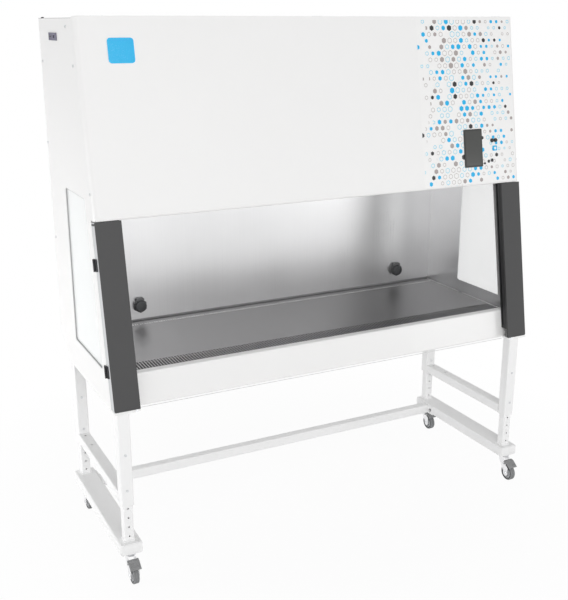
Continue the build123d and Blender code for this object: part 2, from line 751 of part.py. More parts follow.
def exhaust_grille():
    """Slotted cover over the exhaust opening, in the top panel, with a collar down to the filter."""
    half_x = exhaust_length / 2 - body_clear
    half_y = exhaust_width / 2 - body_clear
    z0 = exhaust_z + exhaust_height
    cover = block(-half_x, half_x, exhaust_y - half_y, exhaust_y + half_y, z0, panel_top_z)
    cover -= block(-half_x + skin, half_x - skin, exhaust_y - half_y + skin, exhaust_y + half_y - skin,
                   z0 - 1, panel_top_z - skin)
    grid = GridLocations(exhaust_length / 4, 24, 4, 11)
    slots = Sketch() + [g * Rectangle(exhaust_length / 4 - 16, 12) for g in grid]
    return cover - Pos(0, exhaust_y, panel_top_z - skin - 1) * extrude(slots, amount=skin + 2)


blower_z = plenum_z + plenum_height / 2
motor_standoff = blower_width + 40.0


def blower_wheel():
    """Backward-curved wheel: back disc, inlet shroud and swept blades, axis along Y."""
    disc = extrude(Circle(blower_radius) - Circle(shaft_radius + running_clear), amount=3)
    hub = extrude(Circle(20) - Circle(shaft_radius + running_clear), amount=24)
    shroud = Pos(0, 0, blower_width - 3)
    shroud *= extrude(Circle(blower_radius) - Circle(blower_eye), amount=3)
    outer = blower_radius - 3
    middle = (blower_radius * 0.82, blower_radius * 0.17)
    blade = ThreePointArc((blower_eye - 6, 0), middle, (outer, blower_radius * 0.56))
    blade = extrude(trace(blade, line_width=2.5), amount=blower_width - 4)
    wheel = disc + hub + shroud
    for i in range(blower_blades):
        wheel += Rot(0, 0, i * 360 / blower_blades) * Pos(0, 0, 2) * blade & Cylinder(
            blower_radius - 1, 3 * blower_width)
    return wheel


def blower_motor():
    """Motor on a plate, held off the inlet wall by four rods; its shaft carries the wheel."""
    half = blower_radius + motor_plate_margin
    plate = extrude(Rectangle(2 * half, 2 * half) - Circle(motor_radius - 8), amount=motor_plate)
    can = Pos(0, 0, -motor_length) * extrude(Circle(motor_radius), amount=motor_length + motor_plate)
    can = fillet(can.edges().group_by(Axis.Z)[0], 6)
    shaft = extrude(Circle(shaft_radius), amount=34)
    motor = plate + can + shaft
    for rod in GridLocations(2 * (half - motor_rod_inset), 2 * (half - motor_rod_inset), 2, 2):
        motor += rod * extrude(Circle(6), amount=motor_standoff)
    return motor


def inlet_ring():
    """Bell mouth of the blower, on the front of the inlet wall."""
    throat = blower_eye - 3
    profile = make_face(Polyline((throat, 0), (throat, 26), (throat + 3, 26), (throat + 4, 6),
                                 (blower_eye + 24, 3), (blower_eye + 24, 0), close=True))
    return revolve(Plane.XZ * profile, Axis.Z)


def place_blower():
    wall_y = frame_back_y - skin
    frame = Pos(blower_x, wall_y - motor_standoff, blower_z) * Rot(-90, 0, 0)
    parts["blower_motor"] = frame * blower_motor()
    gap_to_plate = motor_plate + body_clear + 4
    parts["blower_wheel"] = frame * Pos(0, 0, gap_to_plate) * blower_wheel()


def lamp():
    """Fluorescent tube and reflector under the front of the ceiling."""
    y, z = frame_front_y + lamp_front_gap, ceiling_z - liner_sheet - lamp_drop
    half = chamber_half - lamp_inset
    tube = Pos(0, y, z) * Rot(0, 90, 0) * Cylinder(lamp_radius, 2 * (half - lamp_end))
    trough = bent_sheet([(y - 26, z - 8), (y - 14, z + 23.2), (y + 14, z + 23.2), (y + 26, z - 8)],
                        -half, half, 1.6, 4)
    for side in (-1, 1):
        x = side * (half - lamp_end + lamp_holder / 2 - 1)
        holder = block(x - lamp_holder / 2, x + lamp_holder / 2, y - 9, y + 9, z - 10, z + 22.4)
        trough += holder - Pos(x, y, z) * Rot(0, 90, 0) * Cylinder(lamp_radius + running_clear, 20)
    return [trough, tube]


# ---- sash ----
def sash_guide():
    """Channel behind the bar, with a slot for the glass and a flange on the wall's front edge."""
    x0 = -chamber_half - 5
    x1 = x0 + guide_width + 2
    split = fascia_bottom_z - 6
    body = slab(x0, x1, guide_bottom_z, split, guide_front_depth, front_edge_depth)
    body += slab(x0, x1, split, guide_top_z, fascia_depth + 2, front_edge_depth)
    body -= slab(x1 - sash_engagement - 3, x1 + 1, guide_bottom_z + 12, guide_top_z + 1,
                 glass_depth - glass_play, glass_depth + glass_sheet + glass_play)
    return body + slab(x0 - guide_flange_width, x0, guide_bottom_z, guide_top_z,
                       front_edge_depth - guide_flange, front_edge_depth)


sash_half = chamber_half + 5 - guide_width - 2 + sash_engagement
sash_frame = face_frame(0, sash_rest_z)


def sash_glass():
    sheet = Rectangle(2 * sash_half, glass_length - 8)
    pane = extrude(sheet, amount=-glass_sheet)
    return sash_frame * Pos(0, glass_length / 2 + 4, -glass_depth) * pane


def sash_handle():
    """Extruded edge profile that grips the bottom of the glass."""
    half = sash_half - sash_engagement - 2
    d0, d1 = glass_depth - 3, glass_depth + glass_sheet + 3
    bar = Box(2 * half, 24, d1 - d0, align=(Align.CENTER, Align.MIN, Align.MAX))
    bar = fillet(bar.edges().filter_by(Axis.X).group_by(Axis.Y)[0], 3)
    groove = Box(2 * half + 2, 24, glass_sheet, align=(Align.CENTER, Align.MIN, Align.MAX))
    bar = sash_frame * Pos(0, 0, -d0) * bar
    return bar - sash_frame * Pos(0, 8, -glass_depth) * groove


# ---- bars ----
bar_outer = half_width
bar_inner = half_width - bar_width


def bar_body():
    """Light metal channel of the bar: outer side and a web behind the cover."""
    side = square_slab(-bar_outer, -bar_outer + 3, bar_bottom_z, bar_top_z, bar_cover, bar_depth)
    web = square_slab(-bar_outer + 3, -bar_inner - 3, bar_bottom_z, bar_top_z, bar_cover, bar_cover + 3)
    return side + web


def bar_cover_plate():
    """Dark cover: front plate with a rolled outer bottom corner and a short inner return."""
    face = square_slab(-bar_outer, -bar_inner, bar_bottom_z, bar_top_z, 0, bar_cover)
    back = square_slab(-bar_inner - 3, -bar_inner, bar_bottom_z, bar_top_z, bar_cover,
                       guide_front_depth - 1.5)
    corner = face.edges().filter_by(lambda e: abs(e.length - bar_cover / math.cos(lean)) < 0.01)
    low_left = corner.group_by(Axis.Z)[0].sort_by(Axis.X)[0]
    return fillet(low_left, bar_corner_radius) + back


def hinge_place(z, depth):
    """Frame on the hinge axis of the left bar: local z runs up the slope."""
    origin = (-half_width - hinge_axis_out, front(z, depth), z)
    return Plane(origin=origin, x_dir=(1, 0, 0), z_dir=(0, math.sin(lean), math.cos(lean)))


hinge_depth = (bar_depth + front_edge_depth) / 2
knuckle = hinge_height / 3


def hinge_fixed(z):
    """Leaf on the cabinet wall, with the middle knuckle and the pin."""
    barrel = Cylinder(hinge_knuckle_radius, knuckle - 2 * body_clear)
    pin = Cylinder(hinge_pin_radius, hinge_height)
    inner = hinge_axis_out
    leaf = Box(hinge_leaf, hinge_leaf_width, hinge_height, align=(Align.MAX, Align.MIN, Align.CENTER))
    leaf = Pos(inner, 2, 0) * leaf
    notch = Cylinder(hinge_knuckle_radius + body_clear, knuckle + 2 * body_clear)
    for side in (-1, 1):
        leaf -= Pos(0, 0, side * knuckle) * notch
    return hinge_place(z, hinge_depth) * (barrel + pin + leaf)


def hinge_moving(z):
    """Leaf on the bar, with the two outer knuckles."""
    leaf = Box(hinge_leaf, hinge_leaf_width, hinge_height, align=(Align.MAX, Align.MAX, Align.CENTER))
    leaf = Pos(hinge_axis_out, -2, 0) * leaf
    leaf -= Cylinder(hinge_knuckle_radius + body_clear, knuckle)
    for side in (-1, 1):
        leaf += Pos(0, 0, side * knuckle) * Cylinder(hinge_knuckle_radius, knuckle)
    leaf -= Cylinder(hinge_pin_radius + running_clear, hinge_height + 2)
    return hinge_place(z, hinge_depth) * leaf


# ---- fascia ----
def slope_length(z):
    return (z - cabinet_bottom_z) / math.cos(lean)


def fascia():
    """Folded front door: pan with wide rounded uprights, cut for the controls."""
    height = slope_length(fascia_top_z) - slope_length(fascia_bottom_z)
    frame = face_frame(0, (fascia_top_z + fascia_bottom_z) / 2)
    box = Box(cabinet_width, height, fascia_depth, align=(Align.CENTER, Align.CENTER, Align.MAX))
    front_edges = box.edges().group_by(Axis.Z)[-1]
    box = fillet(front_edges.filter_by(Axis.Y), fascia_corner_radius)
    rims = box.edges().group_by(Axis.Z)[-1].filter_by(Axis.X)
    box = fillet(rims.sort_by(Axis.Y)[:1], 5)
    pan = offset(box, amount=-skin, openings=box.faces().sort_by(Axis.Z)[0])
    pan = frame * pan
    pan -= face_frame(screen_x, screen_z) * Box(screen_width - 10, screen_height - 10, 20)
    for x in button_places():
        pan -= face_frame(x, button_z) * Cylinder(button_radius + body_clear, 20)
    pan -= face_frame(power_x, power_z) * Box(power_size, power_size, 20)
    pan -= face_frame(lock_x, lock_z) * Cylinder(lock_radius + body_clear, 20)
    return pan


def button_places():
    return (button_x - button_pitch / 2, button_x + button_pitch / 2)


def touchscreen():
    """Bezel plate proud of the fascia, with its housing behind."""
    bezel = extrude(RectangleRounded(screen_width, screen_height, 5), amount=screen_proud)
    housing = extrude(RectangleRounded(screen_width - 10.6, screen_height - 10.6, 2), amount=-16)
    return face_frame(screen_x, screen_z) * (bezel + housing)


def round_button(x):
    cap = Pos(0, 0, -6) * extrude(Circle(button_radius), amount=6 + button_proud)
    cap = fillet(cap.edges().group_by(Axis.Z)[-1], 2)
    return face_frame(x, button_z) * cap


def power_button():
    body = Pos(0, 0, -6) * extrude(RectangleRounded(power_size - 1, power_size - 1, 3), amount=6 + 4)
    return face_frame(power_x, power_z) * fillet(body.edges().group_by(Axis.Z)[-1], 1)


def key_lock():
    """Lock barrel with a keyway."""
    barrel = Pos(0, 0, -12) * extrude(Circle(lock_radius), amount=12 + 3)
    barrel -= Pos(0, 0, 2) * Box(2, 8, 4)
    return face_frame(lock_x, lock_z) * barrel


top_axis_depth = fascia_depth + 5.0
top_axis_z = panel_top_z + top_hinge_radius + body_clear


def top_hinge_frame(x):
    return Pos(x, front(top_axis_z, top_axis_depth), top_axis_z) * Rot(0, 90, 0)


def top_hinge_fixed(x):
    """Leaf on the top panel, middle knuckle and pin."""
    third = top_hinge_length / 3
    y = front(top_axis_z, top_axis_depth)
    leaf = block(x - third / 2 + body_clear, x + third / 2 - body_clear, y, y + top_leaf_reach,
                 panel_top_z, panel_top_z + 2)
    barrel = top_hinge_frame(x) * Cylinder(top_hinge_radius, third - 2 * body_clear)
    pin = top_hinge_frame(x) * Cylinder(1.5, top_hinge_length)
    return leaf + barrel + pin


def top_hinge_moving(x):
    """Leaf on the fascia's top fold, with the two outer knuckles."""
    third = top_hinge_length / 3
    leaf = Box(top_hinge_length, 2, top_axis_depth - 6, align=(Align.CENTER, Align.MIN, Align.MAX))
    leaf = face_frame(x, fascia_top_z) * Pos(0, 0, -6) * leaf
    leaf -= top_hinge_frame(x) * Cylinder(top_hinge_radius + body_clear, third)
    for side in (-1, 1):
        leaf += top_hinge_frame(x) * Pos(0, 0, side * third) * Cylinder(top_hinge_radius, third)
    return leaf - top_hinge_frame(x) * Cylinder(1.5 + running_clear, top_hinge_length + 2)


# ---- mains inlet ----
def mains_inlet():
    """Appliance inlet on the left wall: a socket with its core, and a fuse drawer beside it."""
    y = back_y - inlet_back_gap
    plate = Box(inlet_proud + 12, inlet_length, inlet_height)
    plate = Pos(-half_width + 6 - inlet_proud / 2, y, inlet_z) * plate
    plate -= Pos(-half_width - inlet_proud, y - 26, inlet_z) * Box(2 * socket_depth, 20, 10)
    drawer = Box(6, 34, 18) - Box(7, 31, 15)
    plate -= Pos(-half_width - inlet_proud, y + 28, inlet_z) * drawer
    return plate


# ---- assembly ----
parts["feet"] = pair(foot())
parts["inner_legs"] = pair(inner_leg(front_leg_y)) + pair(inner_leg(rear_leg_y))
parts["leg_sleeves"] = pair(sleeve(front_leg_y)) + pair(sleeve(rear_leg_y))
parts["side_rails"] = pair(side_rail())
parts["rear_crossbar"] = [crossbar()] + crossbar_bolts()
parts["locking_bolts"] = locking_bolts()
place_castors()

both_sides("side_panel", side_panel())
parts["side_panel_left"] -= Pos(-half_width, back_y - inlet_back_gap, inlet_z) * Box(
    40, inlet_length, inlet_height)
parts["side_liners"] = pair(side_liner())
parts["side_windows"] = pair(side_window())
parts["window_seals"] = pair(window_seal())
parts["back_panel"] = back_panel()
parts["base_pan"] = base_pan()
parts["top_panel"] = top_panel()
parts["chamber_back_wall"] = chamber_back()
parts["apron"] = apron()
parts["worktop_tray"] = tray()
parts["drain_pan"] = sump()
gland = cable_gland()
parts["cable_glands"] = [Pos(x, back_wall_y - liner_sheet, gland_z) * gland for x in gland_places]
parts["filter_frame"] = filter_frame()
parts["air_diffuser"] = diffuser()
parts["supply_filter"] = supply_filter()
parts["plenum_box"] = plenum()
parts["exhaust_filter"] = exhaust_filter()
parts["exhaust_grille"] = exhaust_grille()
place_blower()
parts["lamp"] = lamp()

parts["sash_guides"] = pair(sash_guide())
parts["sash_glass"] = sash_glass()
parts["sash_handle"] = sash_handle()
both_sides("bar_body", bar_body())
both_sides("bar_cover", bar_cover_plate())
heights = (lower_hinge_z, upper_hinge_z)
fixed = [hinge_fixed(z) for z in heights]
moving = [hinge_moving(z) for z in heights]
parts["bar_hinges_fixed"] = fixed + [mirrored(h) for h in fixed]
parts["bar_hinge_leaves_left"] = moving
parts["bar_hinge_leaves_right"] = [mirrored(h) for h in moving]
parts["fascia_door"] = fascia()
parts["top_hinges_fixed"] = [top_hinge_fixed(x) for x in (-top_hinge_x, 0, top_hinge_x)]
parts["top_hinge_leaves"] = [top_hinge_moving(x) for x in (-top_hinge_x, 0, top_hinge_x)]
parts["touchscreen"] = touchscreen()
for place, x in zip(("left", "right"), button_places()):
    parts["round_button_" + place] = round_button(x)
parts["power_button"] = power_button()
parts["key_lock"] = key_lock()
parts["mains_inlet"] = mains_inlet()

os.makedirs("parts", exist_ok=True)
for node, shape in parts.items():
    if isinstance(shape, list):
        shape = Compound(children=[s if isinstance(s, Solid) else s.solids()[0] for s in shape])
    export_step(shape, "parts/" + node + ".step")
print(len(parts), "nodes")
print("overall depth", stand_depth, "sash travel", (sash_rest_z - sash_closed_z) / math.cos(lean))
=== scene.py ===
import math

import bpy
from mathutils import Euler, Matrix, Vector


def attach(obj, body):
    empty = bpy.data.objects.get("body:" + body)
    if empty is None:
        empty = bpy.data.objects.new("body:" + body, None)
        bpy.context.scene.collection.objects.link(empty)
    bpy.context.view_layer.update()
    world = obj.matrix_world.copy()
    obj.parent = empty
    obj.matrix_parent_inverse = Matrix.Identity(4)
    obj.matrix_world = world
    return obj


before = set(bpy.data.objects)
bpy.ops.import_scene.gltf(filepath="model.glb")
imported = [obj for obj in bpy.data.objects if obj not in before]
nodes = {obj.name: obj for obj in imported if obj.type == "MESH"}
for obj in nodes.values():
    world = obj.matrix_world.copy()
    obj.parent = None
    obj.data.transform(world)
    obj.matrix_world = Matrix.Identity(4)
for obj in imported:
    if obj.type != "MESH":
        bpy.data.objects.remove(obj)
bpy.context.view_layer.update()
print("frame loaded:", len(nodes), "nodes")

# how the front leans, and the plane of the fascia's face
lean = math.radians(9.9)
frontFoot = Vector((0, -0.36625, 0.72))
outwards = Vector((0, -math.cos(lean), math.sin(lean)))
faceTurn = (math.radians(90) - lean, 0, 0)
wallTurn = (math.radians(90), 0, 0)   # a piece made lying down, stood up to face the user
flat = (0, 0, 0)

# middle of each castor's axle
castor = {"x": 0.936, "front": -0.36625, "rear": 0.28075, "z": 0.0375}
corners = [f"{end}_{side}" for end in ("front", "rear") for side in ("left", "right")]


def frontPoint(x, z, proud=0.0):
    # point on the sloping face at height z, moved out by proud
    foot = frontFoot + Vector((x, (z - frontFoot.z) * math.tan(lean), z - frontFoot.z))
    return foot + outwards * proud


class Wire:
    # output of a node, used like a number in sums
    def __init__(self, tree, socket):
        self.tree, self.socket = tree, socket

    def plug(self, target):
        self.tree.links.new(self.socket, target)

    def combine(self, operation, other=None, swap=False):
        node = self.tree.nodes.new("ShaderNodeMath")
        node.operation = operation
        terms = [other, self] if swap else [self, other]
        for target, term in zip(node.inputs, terms):
            if isinstance(term, Wire):
                term.plug(target)
            elif term is not None:
                target.default_value = term
        return Wire(self.tree, node.outputs[0])

    def __add__(self, other): return self.combine("ADD", other)
    def __radd__(self, other): return self.combine("ADD", other)
    def __sub__(self, other): return self.combine("SUBTRACT", other)
    def __rsub__(self, other): return self.combine("SUBTRACT", other, True)
    def __mul__(self, other): return self.combine("MULTIPLY", other)
    def __rmul__(self, other): return self.combine("MULTIPLY", other)
    def __truediv__(self, other): return self.combine("DIVIDE", other)
    def __rtruediv__(self, other): return self.combine("DIVIDE", other, True)
    def __pow__(self, other): return self.combine("POWER", other)
    def __lt__(self, other): return self.combine("LESS_THAN", other)
    def __gt__(self, other): return self.combine("GREATER_THAN", other)
    def __mod__(self, other): return self.combine("FLOORED_MODULO", other)
    def __abs__(self): return self.combine("ABSOLUTE")
    def floor(self): return self.combine("FLOOR")
    def atLeast(self, other): return self.combine("MAXIMUM", other)
    def atMost(self, other): return self.combine("MINIMUM", other)


class Graph:
    # node tree of a material or of the world
    def __init__(self, owner):
        owner.use_nodes = True
        self.tree = owner.node_tree

    def add(self, kind, settings=None, inputs=None, out=0):
        node = self.tree.nodes.new(kind)
        for label, value in (settings or {}).items():
            setattr(node, label, value)
        for label, value in (inputs or {}).items():
            if isinstance(value, Wire):
                value.plug(node.inputs[label])
            else:
                node.inputs[label].default_value = value
        if isinstance(out, tuple):
            return [Wire(self.tree, node.outputs[o]) for o in out]
        return Wire(self.tree, node.outputs[out])

    def axes(self, place):
        return self.add("ShaderNodeSeparateXYZ", {}, {"Vector": place}, (0, 1, 2))

    def seenPlainly(self):
        # 1 for what the camera, a mirror or a pane shows, 0 for light
        camera, glossy, through = self.add("ShaderNodeLightPath", {}, {}, (
            "Is Camera Ray", "Is Glossy Ray", "Is Transmission Ray"))
        return camera.atLeast(glossy).atLeast(through)


class Finish(Graph):
    # one material: a Principled shader and what feeds it
    def __init__(self, name, **constants):
        self.material = bpy.data.materials.new(name)
        super().__init__(self.material)
        self.shader = self.tree.nodes["Principled BSDF"]
        for label, value in constants.items():
            self.shader.inputs[label.replace("_", " ")].default_value = value
        self.place = self.add("ShaderNodeTexCoord", out="Object")

    def feed(self, label, wire):
        wire.plug(self.shader.inputs[label])

    def blend(self, factor, first, second):
        pick = {0: factor}
        for socket, colour in ((6, first), (7, second)):
            pick[socket] = colour if isinstance(colour, Wire) else (*colour, 1)
        return self.add("ShaderNodeMix", {"data_type": "RGBA"}, pick, 2)

    def noise(self, scale, detail=2.0, stretch=None, roughness=0.5):
        place = self.place
        if stretch:
            place = self.add("ShaderNodeMapping", {}, {"Vector": place, "Scale": stretch})
        return self.add("ShaderNodeTexNoise", {}, {"Vector": place, "Scale": scale, "Detail": detail,
                                                   "Roughness": roughness}, "Fac")

    def cells(self, scale, out="Distance"):
        return self.add("ShaderNodeTexVoronoi", {}, {"Vector": self.place, "Scale": scale}, out)

    def bump(self, height, strength, distance):
        normal = self.add("ShaderNodeBump", {}, {"Height": height, "Strength": strength,
                                                 "Distance": distance}, "Normal")
        self.feed("Normal", normal)


def tone(colour, factor):
    return tuple(c * factor for c in colour)


def coatFinish(name, look):
    # powder coat: fine orange peel, faint large patches, a little dust in the grain
    f = Finish(name, Metallic=0.0, IOR=1.5, Coat_Weight=look.get("coat", 0.0), Coat_Roughness=0.08)
    patches = f.noise(2.3, 3)
    peel = f.noise(look["peel"], 2)
    dust = f.noise(38.0, 5, None, 0.7)
    f.feed("Base Color", f.blend(0.6 * patches + 0.4 * dust, tone(look["colour"], 0.972), look["colour"]))
    f.feed("Roughness", look["roughness"] + 0.10 * peel + 0.06 * patches + 0.05 * dust)
    f.bump(peel, 0.25, 0.0003)
    return f


def brushedFinish(name, look):
    # drawn steel: long scratches along one direction under a cloudy sheen
    f = Finish(name, Metallic=1.0)
    grain = f.noise(1.0, 3, look["stretch"], 0.7)
    clouds = f.noise(look.get("clouds", 4.0), 3)
    f.feed("Base Color", f.blend(0.6 * grain + 0.4 * clouds, look["dark"], look["light"]))
    f.feed("Roughness", look["roughness"] + 0.14 * grain + 0.08 * clouds)
    f.bump(grain, look.get("strength", 0.18), 0.0002)
    return f


def mouldedFinish(name, look):
    # moulded plastic or rubber: spark-eroded grain and a few paler rubs
    f = Finish(name, Metallic=0.0, IOR=1.46)
    grain = f.noise(look["grain"], 2)
    rubs = f.noise(9.0, 4, None, 0.65)
    f.feed("Base Color", f.blend(rubs, look["colour"], look["worn"]))
    f.feed("Roughness", look["roughness"] + 0.12 * grain + 0.08 * rubs)
    f.bump(grain, look.get("strength", 0.3), 0.0003)
    return f


def plateFinish(name, look):
    # zinc plate: crystalline blotches under a soft shine
    f = Finish(name, Metallic=1.0)
    speck = f.add("ShaderNodeRGBToBW", {}, {"Color": f.cells(look["cells"], "Color")})
    clouds = f.noise(35.0, 3)
    f.feed("Base Color", f.blend(0.5 * speck + 0.5 * clouds, look["dark"], look["light"]))
    f.feed("Roughness", look["roughness"] + 0.12 * clouds)
    f.bump(clouds, 0.15, 0.0002)
    return f


def glassFinish(name, look):
    # pane: nearly clear face on, whiter at a low angle, with a faint film of dust
    f = Finish(name, Metallic=0.0, IOR=1.5)
    slant = f.add("ShaderNodeLayerWeight", {}, {"Blend": 0.5}, "Facing")
    film = f.noise(6.0, 4)
    f.feed("Base Color", f.blend(film, tone(look["colour"], 0.97), look["colour"]))
    f.feed("Alpha", (look["alpha"] + look["slant"] * slant ** 3.0 + 0.02 * film).atMost(0.96))
    f.feed("Roughness", 0.03 + 0.05 * film)
    return f


def pleatFinish(name, look):
    # folded filter paper: narrow ridges across the pack, with painted shade darkening each valley between them
    f = Finish(name, Metallic=0.0)
    x = f.axes(f.place)[0]
    ridge = abs((x / look["pitch"]) % 1.0 - 0.5) * 2
    fibre = f.noise(600.0, 3)
    f.feed("Base Color", f.blend(ridge, tone(look["colour"], 0.72), look["colour"]))
    f.feed("Roughness", 0.8 + 0.15 * fibre)
    f.bump(ridge + 0.2 * fibre, 0.8, 0.003)
    return f


def wheelFinish(name, look):
    # grey tyre with two worn grooves round its tread, painted darker as shade in the grooves, a dark rim and a pale
    # hub
    f = Finish(name, Metallic=0.0, IOR=1.48)
    x, y, z = f.axes(f.place)
    off = abs(abs(x) - castor["x"])
    radius = ((y - castor[look["end"]]) ** 2.0 + (z - castor["z"]) ** 2.0) ** 0.5
    hub = radius < look["hubEdge"]
    rim = (radius < look["rimEdge"]) * (radius > look["hubEdge"]) * (off > 0.009)
    groove = (abs(off - look["grooveAt"]) < 0.0007) * (radius > look["treadFrom"])
    scuff = f.noise(160.0, 4, None, 0.7)
    tyre = f.blend(scuff, look["tyre"], look["worn"])
    tyre = f.blend(0.55 * groove, tyre, tone(look["tyre"], 0.4))
    tyre = f.blend(0.8 * rim, tyre, tone(look["tyre"], 0.25))
    f.feed("Base Color", f.blend(hub, tyre, look["hub"]))
    f.feed("Roughness", 0.52 + 0.22 * scuff - 0.14 * hub)
    f.bump(0.4 * scuff - groove, 0.5, 0.0006)
    return f


coatLook = {"colour": (0.875, 0.872, 0.868), "roughness": 0.30, "peel": 420.0}
wheelLook = {"tyre": (0.16, 0.165, 0.17), "worn": (0.29, 0.295, 0.30), "hub": (0.55, 0.56, 0.57),
             "hubEdge": 0.0262, "rimEdge": 0.0325, "treadFrom": 0.033, "grooveAt": 0.0042}
looks = {
    "cabinetCoat": (coatFinish, coatLook),
    "apronCoat": (coatFinish, {**coatLook, "roughness": 0.20, "coat": 0.35}),
    "hemShade": (coatFinish, {"colour": (0.72, 0.72, 0.72), "roughness": 0.4, "peel": 420.0}),
    "standCoat": (coatFinish, {"colour": (0.90, 0.90, 0.90), "roughness": 0.34, "peel": 480.0}),
    "wallSteel": (brushedFinish, {"dark": (0.64, 0.64, 0.645), "light": (0.80, 0.80, 0.805),
                                  "stretch": (700, 700, 1.6), "roughness": 0.20, "strength": 0.12}),
    "traySteel": (brushedFinish, {"dark": (0.19, 0.187, 0.19), "light": (0.27, 0.267, 0.27),
                                  "stretch": (2.2, 600, 600), "roughness": 0.27, "strength": 0.12}),
    # lighter copy of the tray steel: painted highlight on the lands between slots
    "ribHighlightSteel": (brushedFinish, {"dark": (0.34, 0.34, 0.345), "light": (0.46, 0.46, 0.465),
                                 "stretch": (2.2, 420, 420), "roughness": 0.32}),
    # pale copy of the steel: painted highlight on the tray's rims and edge beads
    "highlightSteel": (brushedFinish, {"dark": (0.80, 0.80, 0.80), "light": (0.95, 0.95, 0.95),
                                    "stretch": (2.2, 420, 420), "roughness": 0.3}),
    "zincPlate": (plateFinish, {"dark": (0.55, 0.56, 0.58), "light": (0.85, 0.86, 0.87), "cells": 260.0,
                                "roughness": 0.28}),
    "hingeSteel": (brushedFinish, {"dark": (0.02, 0.02, 0.022), "light": (0.06, 0.06, 0.065),
                                   "stretch": (300, 300, 20), "roughness": 0.32}),
    "barPlastic": (mouldedFinish, {"colour": (0.046, 0.046, 0.047), "worn": (0.058, 0.058, 0.059),
                                   "roughness": 0.44, "grain": 700.0, "strength": 0.15}),
    "barMetal": (brushedFinish, {"dark": (0.50, 0.51, 0.52), "light": (0.64, 0.65, 0.66),
                                 "stretch": (500, 500, 3), "roughness": 0.36}),
    "blackPlastic": (mouldedFinish, {"colour": (0.012, 0.012, 0.013), "worn": (0.03, 0.03, 0.032),
                                     "roughness": 0.34, "grain": 900.0}),
    "glandPlastic": (mouldedFinish, {"colour": (0.030, 0.031, 0.033), "worn": (0.065, 0.067, 0.070),
                                     "roughness": 0.40, "grain": 700.0}),
    "lugPlastic": (mouldedFinish, {"colour": (0.085, 0.087, 0.09), "worn": (0.13, 0.132, 0.135),
                                   "roughness": 0.42, "grain": 700.0}),
    # black of the sheet under the slots: painted shade
    "shadeBlack": (mouldedFinish, {"colour": (0.02, 0.02, 0.02), "worn": (0.045, 0.045, 0.045),
                                   "roughness": 0.6, "grain": 500.0}),
    "forkPlate": (plateFinish, {"dark": (0.74, 0.74, 0.75), "light": (0.93, 0.93, 0.94), "cells": 260.0,
                                "roughness": 0.34}),
    "windowBead": (mouldedFinish, {"colour": (0.40, 0.405, 0.41), "worn": (0.48, 0.485, 0.49),
                                   "roughness": 0.5, "grain": 600.0}),
    "inletPlastic": (mouldedFinish, {"colour": (0.12, 0.115, 0.17), "worn": (0.20, 0.19, 0.26),
                                     "roughness": 0.42, "grain": 900.0}),
    "seamShade": (mouldedFinish, {"colour": (0.16, 0.16, 0.165), "worn": (0.24, 0.24, 0.245),
                                  "roughness": 0.55, "grain": 500.0}),
    "brakeTread": (mouldedFinish, {"colour": (0.19, 0.192, 0.195), "worn": (0.38, 0.383, 0.386),
                                   "roughness": 0.45, "grain": 650.0}),
    "frontWheel": (wheelFinish, {**wheelLook, "end": "front"}),
    "rearWheel": (wheelFinish, {**wheelLook, "end": "rear"}),
    "clearPane": (glassFinish, {"colour": (0.90, 0.92, 0.92), "alpha": 0.07, "slant": 1.9}),
    "sashPane": (glassFinish, {"colour": (0.86, 0.90, 0.90), "alpha": 0.05, "slant": 1.0}),
    "filterPaper": (pleatFinish, {"colour": (0.85, 0.84, 0.80), "pitch": 0.008}),
    "motorPaint": (coatFinish, {"colour": (0.06, 0.07, 0.08), "roughness": 0.4, "peel": 380.0}),
    "castAluminium": (brushedFinish, {"dark": (0.55, 0.55, 0.56), "light": (0.75, 0.75, 0.76),
                                      "stretch": (60, 60, 60), "roughness": 0.35}),
    "lampWhite": (coatFinish, {"colour": (0.88, 0.88, 0.86), "roughness": 0.25, "peel": 500.0}),
    "buttonGrey": (mouldedFinish, {"colour": (0.012, 0.012, 0.012), "worn": (0.025, 0.025, 0.025),
                                   "roughness": 0.3, "grain": 900.0}),
    "cyanLens": (mouldedFinish, {"colour": (0.005, 0.43, 0.80), "worn": (0.02, 0.50, 0.86),
                                 "roughness": 0.16, "grain": 300.0, "strength": 0.05}),
    "screenGlass": (mouldedFinish, {"colour": (0.055, 0.057, 0.054), "worn": (0.065, 0.067, 0.064),
                                    "roughness": 0.12, "grain": 200.0, "strength": 0.02}),
    "screenBezel": (mouldedFinish, {"colour": (0.030, 0.031, 0.030), "worn": (0.045, 0.046, 0.045),
                                    "roughness": 0.35, "grain": 800.0}),
}
finishes = {name: make(name, look) for name, (make, look) in looks.items()}

